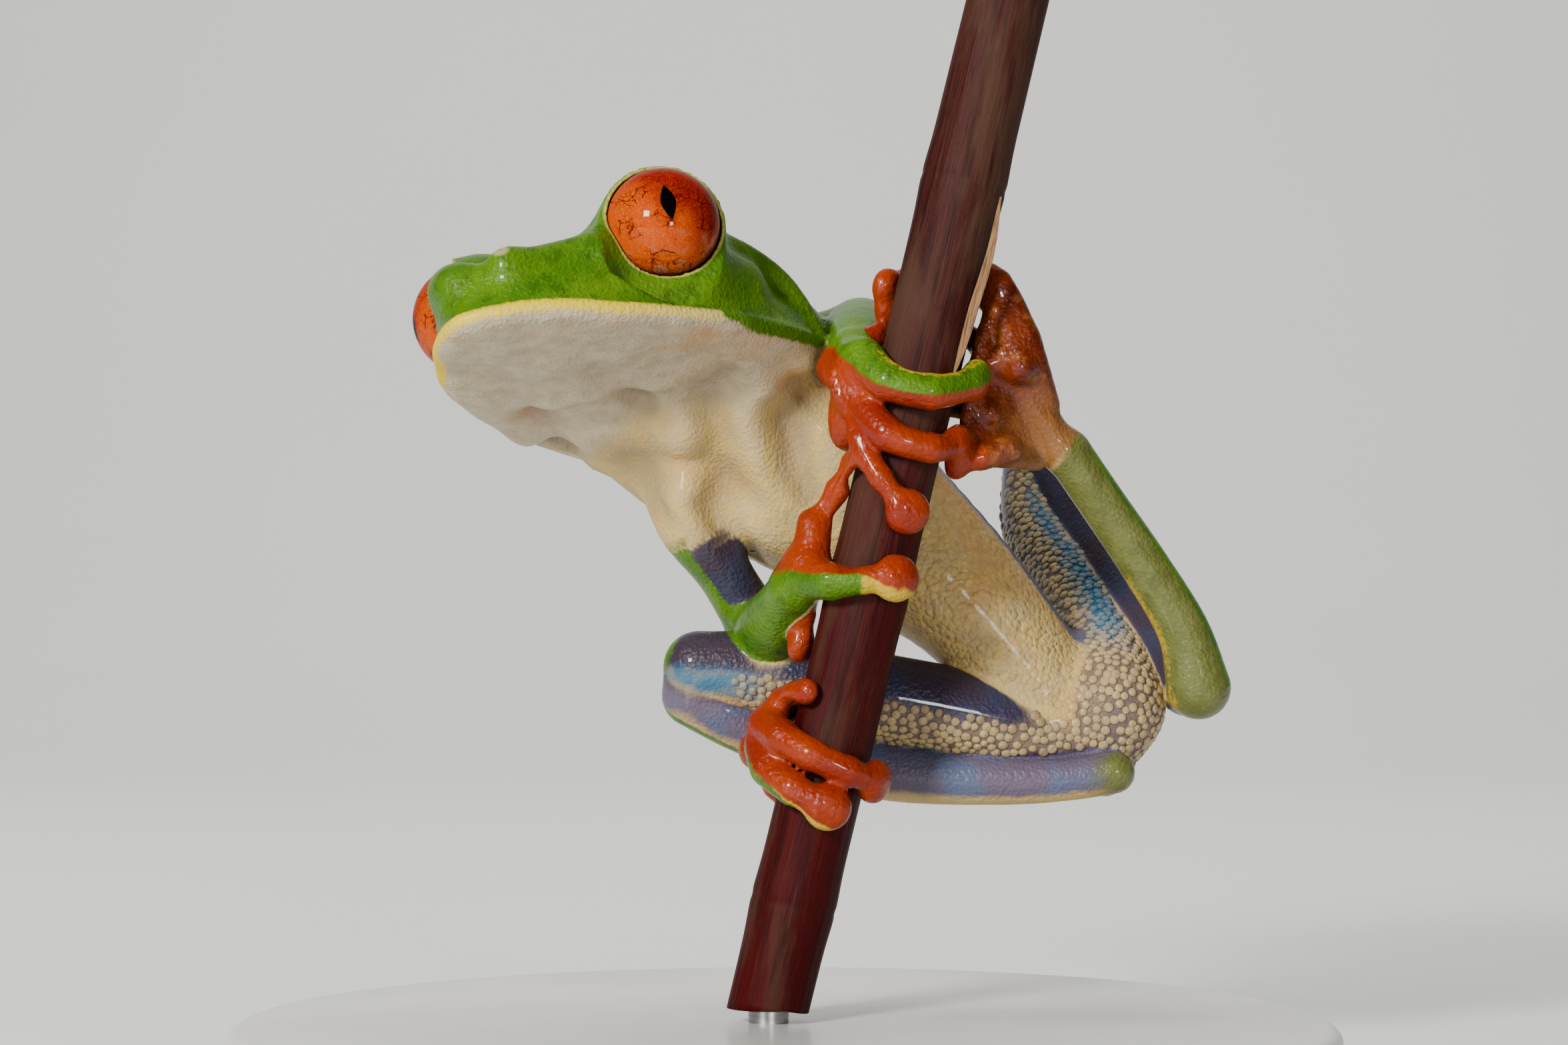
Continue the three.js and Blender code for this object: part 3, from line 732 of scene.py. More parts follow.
flesh.add(forearm_left, joints=[(elbow_left, 2.5, 1.4)])
flesh.add(upper_arm_right, joints=[(shoulder_right, 3.5, 2.2)])
flesh.add(forearm_right, joints=[(elbow_right, 2.5, 1.4)])

# ---- hands ---------------------------------------------------------------------------------------
# Four orange fingers to a hand, each with a round sticky disc that lies flat on the bark. The outer
# finger's top stays green, and small pads swell below the finger joints.


def digit(path, disc, **paint):
    """A finger or toe over the bark. Places are height, degrees, lift and radius."""
    height, degrees, lift, radius = disc
    stations = [(*grip(h, deg, up), r) for h, deg, up, r in path]
    before = spline(np.array([p[:3] for p in (*path, disc)], float), 8)[-3]
    neck = (*grip(*before[:2], max(before[2], 0.6)), 0.62 * path[-1][3])
    stations += [(*neck[:3], 0.85 * path[-1][3]), (*grip(height, degrees, lift), 0.55 * radius)]
    return Tube(stations, side=(0.3, 0.2, 1), steps=4, knuckle=0.07, **paint)


class Disc:
    """A flattened round pad, pressed on the bark."""

    def __init__(self, height, degrees, lift, radius, **paint):
        self.centre = grip(height, degrees, lift)
        angle = np.radians(degrees)
        self.out = np.cos(angle) * stem_right + np.sin(angle) * stem_back
        self.radius = radius
        self.paint = paint
        self.low, self.high = self.centre - radius - FAR, self.centre + radius + FAR

    def field(self, x, y, z):
        dx, dy, dz = x - self.centre[0], y - self.centre[1], z - self.centre[2]
        lift = dx * self.out[0] + dy * self.out[1] + dz * self.out[2]
        flat = np.sqrt(np.maximum(dx * dx + dy * dy + dz * dz - lift**2, 0))
        wide, thick = self.radius, 0.66 * self.radius
        level = ((flat / wide) ** 2.4 + np.abs(lift / thick) ** 2.4) ** (1 / 2.4)
        slope = np.sqrt((flat / wide**2) ** 2 + (lift / thick**2) ** 2) / np.maximum(level, 1e-3)
        return (level - 1) / np.maximum(slope, 0.3)

    def at(self, points):
        away = (points - self.centre) / self.radius
        return self.field(*points.T), np.ones(len(points)), away


def add_digits(digits, root, paint, disc_paint=None):
    """Adds fingers or toes that spring from one place. Each is its path and then its disc."""
    for path, disc in digits:
        flesh.add(digit(path, disc, **paint), joints=[(root, 2.0, 0.7)])
        flesh.add(Disc(*disc, **(disc_paint or paint)), crease=0.35)


FINGER = dict(orange=all_over)
palm_left = Tube(
    [(3.8, 1.2, 39.9, 1.4), (*grip(32.0, -172, 1.1), 1.4), (*grip(30.4, -168, 1.0), 1.3)],
    orange=facing(-0.2, 0, -1, -0.55),
    green=facing(0.3, -0.3, 0.9, 0.1, until=0.6),
)
palm_right = Tube(
    [(0.5, 0.0, 27.5, 1.25), (*grip(20.7, -172, 1.2), 1.35)],
    orange=facing(0.3, 0, 0.9, 0.15),
    green=facing(-0.9, -0.3, -0.5, -0.4),
)
flesh.add(palm_left, joints=[(wrist_left, 2.0, 1.0)])
flesh.add(palm_right, joints=[(wrist_right, 2.0, 1.0)])

knuckles_left = grip(30.8, -165, 1.0)
add_digits(
    [
        ([(30.4, 178, 0.9, 0.8), (28.6, 152, 0.8, 0.65)], (27.2, 112, 0.75, 0.95)),
        (
            [(30.2, -168, 0.9, 0.9), (28.1, -137, 0.75, 0.7), (26.4, -104, 0.7, 0.65)],
            (25.0, -70, 0.75, 1.25),
        ),
        (
            [(30.4, -158, 0.9, 0.95), (28.8, -108, 0.8, 0.9), (28.6, -62, 0.75, 0.8)],
            (29.2, -22, 0.75, 1.05),
        ),
    ],
    knuckles_left,
    FINGER,
)
OUTER_FINGER_LEFT = dict(
    green=facing(0, -0.3, 1.0, -0.35),
    yellow=line_facing(0.1, 0.1, 1.0, 0.7),
    orange=facing(0, 0.3, -1.0, -0.1),
)
outer_left = [(32.4, -160, 1.1, 1.25), (31.5, -118, 0.95, 1.0), (31.5, -76, 0.85, 0.95)]
add_digits([(outer_left, (32.7, -14, 0.8, 1.2))], knuckles_left, OUTER_FINGER_LEFT)

knuckles_right = grip(20.4, -174, 1.1)
add_digits(
    [
        ([(20.3, 172, 1.0, 0.85), (20.4, 128, 0.8, 0.65)], (20.8, 88, 0.75, 1.05)),
        ([(20.0, 176, 1.1, 0.9), (18.2, 162, 0.95, 0.7)], (16.6, 154, 0.8, 0.95)),
        (
            [(21.2, -170, 1.2, 1.0), (23.4, -176, 1.1, 0.7), (25.3, -164, 0.9, 0.6)],
            (26.9, -148, 0.8, 0.9),
        ),
    ],
    knuckles_right,
    FINGER,
)
OUTER_FINGER_RIGHT = dict(
    green=facing(-0.15, -0.6, -0.85, -0.35, until=0.8),
    yellow=facing(0.2, -0.3, -1.0, -0.1, since=0.5),
    orange=facing(0.1, 0.1, 1.0, 0.2),
)
outer_right = [(20.3, -165, 1.0, 1.2), (20.5, -130, 0.9, 1.05), (21.0, -98, 0.8, 0.85)]
add_digits(
    [(outer_right, (21.4, -66, 0.8, 1.3))],
    knuckles_right,
    OUTER_FINGER_RIGHT,
    dict(orange=facing(0, -0.3, 1, -0.75), yellow=all_over),
)

# ---- hind legs -----------------------------------------------------------------------------------
# Long folded legs. The thighs are blue along the top and coarsely granular below, the shanks are
# violet inside, and the long ankle segments are leaf green with a yellow edge.

hip_left, hip_right = (17.0, 9.4, 21.2), (16.6, 8.4, 19.4)
knee_left, knee_right = (15.0, 28.2, 35.6), (-4.9, 6.6, 22.2)
heel_left, heel_right = (22.8, 6.2, 21.6), (18.2, 6.7, 17.1)

thigh_left = Tube(
    [
        (18.1, 8.0, 20.7, 3.1),
        (18.1, 12.6, 23.3, 2.75),
        (16.7, 18.2, 26.9, 2.4),
        (14.9, 24.0, 30.8, 1.9),
        (14.9, 27.6, 34.8, 1.7),
    ],
    granule=facing(-0.2, -1.0, -0.6, -0.6, size=1.2),
    teal=facing(0.95, -0.2, 0.35, 0.05, since=0.12),
    blue=facing(-0.95, 0.2, 0.5, 0.75),
    green=facing(0.2, 0.9, 0.7, 0.75),
)
shank_left = Tube(
    [
        (15.0, 28.2, 36.0, 1.7),
        (17.9, 22.5, 31.4, 2.1),
        (20.4, 14.0, 25.8, 1.9),
        (22.4, 7.6, 21.6, 1.4),
    ],
    blue=all_over,
    dusk=all_over,
    green=facing(0.7, 0.6, 0.6, 0.2),
)
tarsus_left = Tube(
    [
        (22.9, 5.4, 21.9, 1.8),
        (22.0, 5.0, 25.1, 1.45),
        (19.8, 4.5, 28.7, 1.35),
        (17.5, 3.8, 32.0, 1.3),
        (15.6, 3.0, 34.7, 1.3),
    ],
    leaf=all_over,
    green=facing(0.8, 0.3, 0.5, 0.5),
    yellow=line_facing(-0.93, -0.3, -0.5, 0.4, until=0.5),
)
thigh_right = Tube(
    [
        (17.2, 8.4, 18.9, 2.5),
        (14.3, 7.4, 19.5, 2.35),
        (8.3, 6.6, 20.8, 2.4),
        (2.7, 6.2, 21.8, 2.4),
        (-2.1, 6.2, 22.8, 2.1),
        (-4.7, 6.4, 23.0, 2.0),
    ],
    granule=facing(0.1, -0.35, -1.0, 0.0, until=0.8, size=1.2),
    blue=facing(0.1, -0.15, 1.0, 0.0),
    dusk=all_over,
    teal=facing(-0.2, -0.3, -1.0, 0.25, since=0.75),
    green=facing(-0.9, 0.35, 0.2, 0.55, since=0.6),
)
shank_right = Tube(
    [
        (-5.0, 6.8, 21.4, 1.8),
        (-2.1, 6.8, 19.7, 1.6),
        (2.0, 6.8, 18.2, 1.6),
        (6.1, 6.6, 17.1, 1.6),
        (12.0, 6.0, 16.7, 1.35),
        (15.6, 5.6, 16.8, 1.2),
        (18.2, 5.4, 17.2, 1.2),
    ],
    blue=facing(0, -0.2, 1.0, -0.5),
    green=facing(-0.4, 0.5, -1.0, 0.5, until=0.25),
    leaf=facing(0.5, 0, 0, -2, since=0.93),
)
tarsus_right = Tube(
    [
        (17.9, 7.9, 17.0, 1.3),
        (14.4, 9.4, 17.2, 1.3),
        (9.5, 10.2, 17.3, 1.25),
        (5.0, 9.0, 17.3, 1.2),
    ],
    leaf=all_over,
    green=facing(0.1, 0.8, -0.5, 0.25),
)
flesh.add(thigh_left, joints=[(hip_left, 4.5, 2.2)])
flesh.add(thigh_right, joints=[(hip_right, 4.0, 2.2)])
flesh.add(shank_left, joints=[(knee_left, 3.0, 1.6)])
flesh.add(shank_right, crease=0.12, joints=[(knee_right, 2.0, 1.2)])
flesh.add(tarsus_left, joints=[(heel_left, 2.4, 1.4)])
flesh.add(tarsus_right, joints=[(heel_right, 2.2, 1.3)])

# ---- feet ----------------------------------------------------------------------------------------
# Five toes to a foot, and those of the left foot are joined by a thin translucent web. They are
# pressed on the bark, and each ends in a round sticky disc like the fingers'.


class Web:
    """Thin skin stretched between two edge curves, as close rows of slender tubes."""

    def __init__(self, edge_a, edge_b, rows=9, radius=0.34, **paint):
        a, b = spline(edge_a, rows), spline(edge_b, rows)
        self.rows = list(zip(a, b))
        self.radius = radius
        self.paint = paint
        ends = np.vstack([a, b])
        self.low, self.high = ends.min(0) - FAR, ends.max(0) + FAR

    def field(self, x, y, z):
        total = np.full(np.broadcast_shapes(x.shape, y.shape, z.shape), FAR, np.float32)
        for a, b in self.rows:
            run = b - a
            share = (x - a[0]) * run[0] + (y - a[1]) * run[1] + (z - a[2]) * run[2]
            share = np.clip(share / (run @ run), 0, 1)
            dx, dy, dz = (v - a[k] - share * run[k] for k, v in enumerate((x, y, z)))
            sag = self.radius * (1.25 - np.sin(np.pi * share) * 0.45)
            total = np.minimum(total, np.sqrt(dx * dx + dy * dy + dz * dz) - sag)
        return total

    def at(self, points):
        return self.field(*points.T), np.zeros(len(points)), np.zeros((len(points), 3))


ankle_left, ankle_right = (15.2, 2.9, 34.9), (4.6, 8.8, 17.3)
foot_left = Tube(
    [(15.1, 2.9, 35.1, 1.3, 1.1), (13.3, 2.4, 37.6, 1.3, 0.9), (12.0, 1.9, 39.6, 1.0, 0.8)],
    leaf=facing(0.6, 0.2, 0.6, 0.2, until=0.6),
    membrane=all_over,
)
foot_right = Tube(
    [(4.4, 8.6, 17.3, 1.2), (2.0, 6.5, 17.6, 1.3), (-0.5, 4.2, 18.2, 1.3), (-1.4, 1.7, 18.6, 1.1)],
    orange=facing(0.5, -0.5, 0.6, -0.4),
    green=facing(-0.8, 0.2, -0.6, 0.1),
)
flesh.add(foot_left, joints=[(ankle_left, 2.2, 1.0)])
web_left = Web(
    [(15.2, 2.8, 35.6), (13.6, 2.0, 39.0), (12.3, 1.6, 41.6), grip(38.2, 25, 0.8)],
    [(13.8, 2.4, 34.2), grip(28.9, 2, 1.6), grip(31.5, 5, 0.7), grip(35.5, 14, 0.7)],
    rows=12,
    membrane=all_over,
)
flesh.add(web_left, crease=0.3)
flesh.add(foot_right, joints=[(ankle_right, 2.0, 1.0)])

instep_left = grip(33.5, 10, 2.4)
add_digits(
    [
        ([(29.6, 3, 3.4, 0.85), (28.8, -2, 2.0, 0.7)], (28.2, -10, 0.85, 0.95)),
        ([(31.2, 8, 1.9, 0.75), (31.2, 50, 0.8, 0.6)], (30.9, 92, 0.75, 1.0)),
        (
            [(34.0, 12, 1.5, 0.75), (35.2, 50, 0.75, 0.6), (34.6, 100, 0.7, 0.6)],
            (33.7, 148, 0.75, 0.95),
        ),
        (
            [
                (34.0, 7, 3.0, 0.85),
                (36.7, 16, 1.3, 0.7),
                (37.6, 60, 0.75, 0.65),
                (36.6, 108, 0.7, 0.6),
            ],
            (35.6, 138, 0.8, 1.0),
        ),
        (
            [
                (32.4, 18, 5.2, 0.85),
                (35.6, 12, 3.0, 0.85),
                (38.3, 25, 1.1, 0.7),
                (38.7, 70, 0.75, 0.65),
                (37.8, 115, 0.7, 0.6),
            ],
            (36.7, 150, 0.9, 1.0),
        ),
    ],
    instep_left,
    dict(orange=facing(0, 0, 1, -2, since=0.35), membrane=all_over),
)
instep_right = grip(11.6, -178, 1.2)
add_digits(
    [
        ([(12.0, 178, 1.5, 0.8), (13.6, -172, 0.9, 0.6)], (14.4, -134, 0.6, 0.75)),
        ([(12.0, 158, 1.3, 0.75), (13.4, 140, 0.75, 0.6)], (14.2, 108, 0.7, 0.9)),
        ([(10.4, 158, 1.4, 0.8), (8.8, 140, 0.8, 0.65)], (7.9, 108, 0.75, 1.0)),
        (
            [
                (12.1, -172, 1.3, 1.05),
                (11.7, -145, 0.95, 0.95),
                (11.2, -108, 0.8, 0.85),
                (10.8, -68, 0.8, 0.8),
            ],
            (10.5, -30, 0.8, 1.2),
        ),
    ],
    instep_right,
    FINGER,
)
OUTER_TOE = dict(
    orange=facing(0.5, -0.6, 0.5, -0.1),
    yellow=line_facing(-0.3, -0.9, -0.35, 0.6),
    green=facing(-0.8, -0.1, -0.6, 0.1, until=0.7),
)
outer_toe = [(10.9, -178, 1.3, 1.0), (9.9, -154, 1.0, 1.0), (9.2, -118, 0.85, 0.9)]
add_digits(
    [(outer_toe, (8.7, -80, 0.8, 1.3))],
    instep_right,
    OUTER_TOE,
    dict(orange=facing(0.4, -0.4, 0.8, -0.6), yellow=all_over),
)

# ---- skin ----------------------------------------------------------------------------------------
# One moist skin over all of the flesh, glossy where it is green or orange and duller on the throat.
# Its markings follow the parts underneath, and it lies in slack folds on the throat and the chest.


def skin_mesh():
    """Points and quads of the surface, evened out and set back on to it."""
    grid = openvdb.FloatGrid(FAR)
    grid.copyFromArray(flesh.grid)
    points, faces = grid.convertToQuads(0.0)
    points = np.asarray(points, float)
    faces = np.asarray(faces, int)
    edges = np.vstack([faces[:, [k, (k + 1) % 4]] for k in range(4)])
    edges = np.unique(np.sort(edges, 1), axis=0)
    degree = np.bincount(edges.ravel(), minlength=len(points))[:, None]
    slopes = np.gradient(flesh.grid)
    for _ in range(3):
        near = np.zeros_like(points)
        for axis in range(3):
            near[:, axis] = np.bincount(edges[:, 0], points[edges[:, 1], axis], len(points))
            near[:, axis] += np.bincount(edges[:, 1], points[edges[:, 0], axis], len(points))
        points += 0.5 * (near / degree - points)
        slope = np.stack([sample(part, points) for part in slopes], 1)
        steep = np.maximum((slope**2).sum(1), 1e-3)
        points -= slope * (sample(flesh.grid, points) / steep)[:, None]
    return points, faces, slope / np.linalg.norm(slope, axis=1)[:, None]


def sample(grid, points):
    """Values between the grid's points, by straight interpolation."""
    base = np.clip(np.floor(points).astype(int), 0, np.array(grid.shape) - 2)
    part = points - base
    total = np.zeros(len(points))
    for corner in np.ndindex(2, 2, 2):
        weight = np.prod(np.where(corner, part, 1 - part), axis=1)
        x, y, z = (base + corner).T
        total += weight * grid[x, y, z]
    return total


def largest_piece(points, faces, normals):
    """Leaves out any closed pocket, so that one connected skin is left."""
    label = np.arange(len(points))
    edges = np.vstack([faces[:, [0, 1]], faces[:, [1, 2]], faces[:, [2, 3]]])
    while True:
        low = np.minimum(label[edges[:, 0]], label[edges[:, 1]])
        new = label.copy()
        np.minimum.at(new, edges[:, 0], low)
        np.minimum.at(new, edges[:, 1], low)
        new = new[new]
        if (new == label).all():
            break
        label = new
    names, counts = np.unique(label, return_counts=True)
    keep = label == names[counts.argmax()]
    index = np.cumsum(keep) - 1
    return points[keep], index[faces[keep[faces[:, 0]]]], normals[keep]


points, faces, normals = largest_piece(*skin_mesh())
points = flesh.low + points * flesh.cell
corners = points[faces]
turn = np.cross(corners[:, 1] - corners[:, 0], corners[:, 2] - corners[:, 0])
if (turn * corners[:, 0]).sum() < 0:
    faces = faces[:, ::-1]

SPREAD = 0.3  # how far the markings of two parts run into each other
total = np.zeros(len(points))
on_head = np.zeros(len(points))
on_trunk = np.zeros(len(points))
markings = {layer: np.zeros(len(points)) for layer in LAYERS}
nearest = np.full(len(points), np.inf)
measures = []
for part in flesh.parts:
    inside = np.flatnonzero(((points > part.low) & (points < part.high)).all(1))
    distance, along, out = part.at(points[inside])
    measures.append((part, inside, distance, along, out))
    nearest[inside] = np.minimum(nearest[inside], distance)
for part, inside, distance, along, out in measures:
    weight = np.exp(-(distance - nearest[inside]) / SPREAD)
    total[inside] += weight
    on_head[inside] += weight * (part in head_parts)
    on_trunk[inside] += weight * (part is trunk)
    for layer in LAYERS:
        paint = getattr(part, "paint", {}).get(layer)
        value = BARE if paint is None else paint(along, out)
        markings[layer][inside] += weight * value
for layer in LAYERS:
    markings[layer] /= total

head_x, head_y, head_z = head.local(*points.T)
on_body = (on_head + on_trunk) / total
on_head = on_head / total * np.clip((head_x + 4.2) / 1.5, 0, 1)
jaw_out = head.jaw(head_x, head_y, head_z)
head_z = head_z - head.lips(head_x, head_y)
head_green = head_z - (LIP_HEIGHT + 0.12) * np.clip((head_x - 4.6) / 2.6, -0.3, 1)
head_green = head_green - 2 * np.clip((-jaw_out - 1) / 1.5, 0, 1) * (head_z < 1.5)
markings["green"] = markings["green"] * (1 - on_head) + np.clip(head_green, BARE, FULL) * on_head
markings["blue"] = markings["blue"] * (1 - on_head) + BARE * on_head
back = normals @ (0.18, 0.96, 0.18)
nape = np.clip((head_crown @ normals.T - 0.1) * 3, BARE, FULL)
nape = np.where((head_x < 0) & (head_z > 0), nape, BARE)
green_back = np.where(on_body > 0.5, np.maximum((back - 0.2) * 3, nape), BARE)
markings["green"] = np.maximum(markings["green"], green_back)
lip = 0.4 - np.hypot(jaw_out + 0.16, head_z - LIP_HEIGHT)
markings["lip"] = np.where(on_head > 0.1, np.minimum(lip, (head_x - 6.2) * 0.5), BARE)
markings["snout"] = head_x / HEAD_LENGTH
markings["throat"] = np.clip((head_x + 3.5) / 5, 0, 1) * (head_z < 0.5) * on_head


def nearer_of_two(place):
    """Distance from the nearer one of a left and right pair of places on the head."""
    pair = [np.linalg.norm(points - from_head(place, mirror), axis=1) for mirror in (1, -1)]
    return np.minimum(*pair)


markings["rim"] = nearer_of_two(EYE_CENTRE) - EYE_RADIUS
markings["nostril"] = nearer_of_two(NOSTRIL)
# Granular skin between the beads takes their painted shade.
markings["bead"] = np.zeros(len(points))
ankle_away = np.linalg.norm(points - (15.8, 2.9, 34.6), axis=1)
markings["ankle"] = np.clip(1.4 - ankle_away / 4.2, 0, 1)


def skin_finish():
    finish = Finish("moist_skin", Coat_Roughness=0.07, Specular_IOR_Level=0.18)
    spot = finish.place()
    wide = finish.noise(spot, 3.2, 3.0)
    mid = finish.noise(spot, 1.1, 4.0, 0.6)
    fine = finish.noise(spot, 0.3, 3.0, 0.6)
    pores = finish.cells(spot, 0.22)
    beads = finish.cells(spot, 0.5)

    # Bare skin, cream on the chest and belly and greyer on the throat.
    chest = finish.mix(mid.between(0.35, 0.65), (174, 152, 104), (188, 160, 94))
    throat = finish.mix(mid.between(0.3, 0.7), (160, 146, 120), (182, 168, 140))
    colour = finish.mix(finish.marking("throat"), chest, throat)
    warm = finish.noise(spot, 5.0, 2.0)
    colour = finish.mix(warm.between(0.5, 0.75) * 0.5, colour, (192, 130, 66))

    # Painted shade darkens the grooves of the throat and chest folds, and a painted highlight
    # lightens their ridges.
    fold = finish.marking("fold")
    colour = finish.mix(fold.between(-0.05, -0.7) * 0.4, colour, (112, 92, 76))
    colour = finish.mix(fold.between(0.1, 0.6) * 0.25, colour, (206, 190, 156))

    # Beads of skin, pale with painted light on top and darker with painted shade down their sides
    # and on the skin between them.
    granule = finish.marking("granule").between(-0.5, 0.6)
    pebble = finish.marking("pebble").between(-0.5, 0.8) * (1 - granule)
    colour = finish.mix(pebble * beads.between(0.3, 0.6) * 0.3, colour, (150, 116, 74))
    bead = finish.marking("bead")
    furrow_shade = finish.mix(wide.between(0.4, 0.6), (118, 96, 76), (102, 86, 82))
    lit_bead_top = finish.mix(mid.between(0.35, 0.65), (158, 136, 98), (176, 152, 102))
    colour = finish.mix(granule, colour, finish.mix(bead.between(0.1, 0.75), furrow_shade, lit_bead_top))

    # Blue and violet inner sides.
    blue = (finish.marking("blue") + (mid - 0.5) * 0.7).between(-0.25, 0.35)
    violet = finish.mix(wide.between(0.4, 0.6), (84, 74, 96), (70, 82, 112))
    dusk = finish.mix(wide.between(0.4, 0.6), (36, 26, 50), (30, 36, 66))
    violet = finish.mix(finish.marking("dusk").between(-1, 1), violet, dusk)
    # The painted light on the bead tops lets less of the blue and the teal show there.
    colour = finish.mix(blue * (0.96 - bead * 0.25), colour, violet)
    teal = (finish.marking("teal") + (mid - 0.5) * 0.8).between(-0.3, 0.5)
    colour = finish.mix(teal * (0.92 - bead * 0.22), colour, (4, 92, 126))

    # Thin leaf-coloured skin of the ankles, and the webs.
    leaf = (finish.marking("leaf") + (mid - 0.5) * 0.4).between(-0.2, 0.3)
    leaf_tone = finish.mix(mid.between(0.35, 0.65), (84, 88, 38), (98, 102, 50))
    colour = finish.mix(leaf, colour, leaf_tone)
    membrane = (finish.marking("membrane") + (mid - 0.5) * 0.6).between(-0.3, 0.5)
    web_tone = finish.mix(wide.between(0.4, 0.6), (104, 36, 4), (80, 20, 1))
    web_tone = finish.mix(mid.between(0.5, 0.7) * 0.6, web_tone, (148, 84, 34))
    web_tone = finish.mix(finish.marking("ankle") * 0.85, web_tone, (128, 88, 44))
    colour = finish.mix(membrane, colour, web_tone)

    # Green upper sides, with darker mottles and with lighter flecks that are painted highlights.
    green = (finish.marking("green") + (fine - 0.5) * 0.35).between(-0.1, 0.12)
    leafy = finish.mix(wide.between(0.35, 0.65), (56, 96, 0), (74, 110, 0))
    leafy = finish.mix(mid.between(0.5, 0.68) * 0.55, leafy, (34, 66, 0))
    leafy = finish.mix(fine.between(0.56, 0.72) * 0.4, leafy, (104, 132, 6))
    colour = finish.mix(green, colour, leafy)

    # Yellow seams, and the lip, yellow in front and cream towards the corner of the mouth.
    yellow = (finish.marking("yellow") + (fine - 0.5) * 0.6).between(-0.05, 0.2)
    colour = finish.mix(yellow * 0.85, colour, (190, 156, 24))
    orange = (finish.marking("orange") + (mid - 0.5) * 0.5).between(-0.12, 0.2)
    red = finish.mix(wide.between(0.4, 0.65), (140, 42, 0), (120, 26, 0))
    red = finish.mix(fine.between(0.55, 0.75) * 0.3, red, (164, 66, 0))
    colour = finish.mix(orange, colour, red)
    lip = (finish.marking("lip") + (fine - 0.5) * 0.12).between(-0.05, 0.06)
    snout = finish.marking("snout")
    lip_tone = finish.mix(snout.between(0.25, 0.8), (204, 186, 106), (214, 184, 0))
    colour = finish.mix(lip, colour, lip_tone)

    # Dark line round the eyeball with a pale edge outside it, and the nostrils: a pale ring round a
    # spot of painted shade that stands for each opening.
    rim = finish.marking("rim")
    colour = finish.mix(rim.between(0.32, 0.2) * 0.75, colour, (178, 168, 84))
    colour = finish.mix(rim.between(0.14, 0.06), colour, (20, 16, 8))
    nostril = finish.marking("nostril")
    colour = finish.mix(nostril.between(0.55, 0.35) * 0.7, colour, (170, 160, 104))
    # Painted shade stands for the nostril's opening, since the bump has no hole.
    colour = finish.mix(nostril.between(0.24, 0.16), colour, (16, 14, 6))

    wet = (green * 0.6).over(orange).over(membrane).over(blue * 0.7).over(granule).over(leaf)
    coat = 0.08 + wet * 0.22 - orange * 0.06
    roughness = 0.5 - wet * 0.16
    grain = pores * 0.05 * (1 - orange * 0.7) + fine * (0.05 + green * 0.04) + mid * 0.06
    grit = finish.cells(spot, 0.34)
    relief = grain - grit * grit * pebble * 0.14 - grit * grit * orange * 0.05
    return finish.apply(colour, roughness, coat, relief)


# The slack throat and chest lie in soft folds, whose height also sets the painted shade in their
# grooves and the painted highlight on their ridges.
loose = np.clip((head_z + 0.4) / -1.0, 0, 1) * np.clip((head_x + 9) / 5, 0, 1) * (jaw_out < 2)
loose = loose * np.clip((points[:, 2] - 27) / 5, 0, 1) * (points[:, 1] < 9)
fold_one = np.sin(head_x * 1.25 + 0.45 * head_y + 0.8 * np.sin(head_y * 0.6))
fold_two = np.sin(head_x * 0.7 - head_y * 1.1 + 1.3 + np.sin(head_x * 0.5))
fold_three = np.sin(points[:, 0] * 1.9 + points[:, 2] * 1.2 + np.sin(points[:, 2]))
markings["fold"] = loose * (0.4 * fold_one + 0.36 * fold_two + 0.14 * fold_three)
points = points + normals * markings["fold"][:, None]

skin = make_piece("frog_skin", points, faces, skin_finish(), markings)
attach(skin, "root")
flesh_nodes = [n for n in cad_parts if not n.startswith(("eye_", "perch_", "stand_"))]
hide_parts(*flesh_nodes)

# ---- beads ---------------------------------------------------------------------------------------
# Coarse round beads of skin that stand close together on the underside of both thighs. They are
# part of the same hide, so they carry its markings.


def scattered(candidates, gap, random):
    """Picks places in a random order, each at least a gap from all the others."""
    taken = {}
    chosen = []
    for index in random.permutation(len(candidates)):
        place = candidates[index]
        key = tuple((place / gap).astype(int))
        around = [(key[0] + i, key[1] + j, key[2] + k) for i, j, k in np.ndindex(3, 3, 3)]
        around = [(i - 1, j - 1, k - 1) for i, j, k in around]
        close = [q for spot in around for q in taken.get(spot, ())]
        if all(((place - q) ** 2).sum() > gap * gap for q in close):
            taken.setdefault(key, []).append(place)
            chosen.append(index)
    return np.array(chosen)


BEAD_GAP = 0.42
random = np.random.default_rng(7)
coarse = (markings["granule"] > -0.1) & (markings["orange"] < -0.5) & (markings["blue"] < 0.1)
source = np.repeat(np.flatnonzero(coarse), 4)
jitter = random.uniform(-0.14, 0.14, (len(source), 3))
jitter -= normals[source] * (jitter * normals[source]).sum(1)[:, None]
candidates = points[source] + jitter
chosen = scattered(candidates, BEAD_GAP, random)
source = source[chosen]
bead_out = normals[source]
bead_across = np.cross(bead_out, (0.3, 0.2, 0.93))
bead_across /= np.linalg.norm(bead_across, axis=1)[:, None]
bead_over = np.cross(bead_out, bead_across)
bead_size = BEAD_GAP * 0.7 * random.uniform(0.86, 1.12, len(chosen))

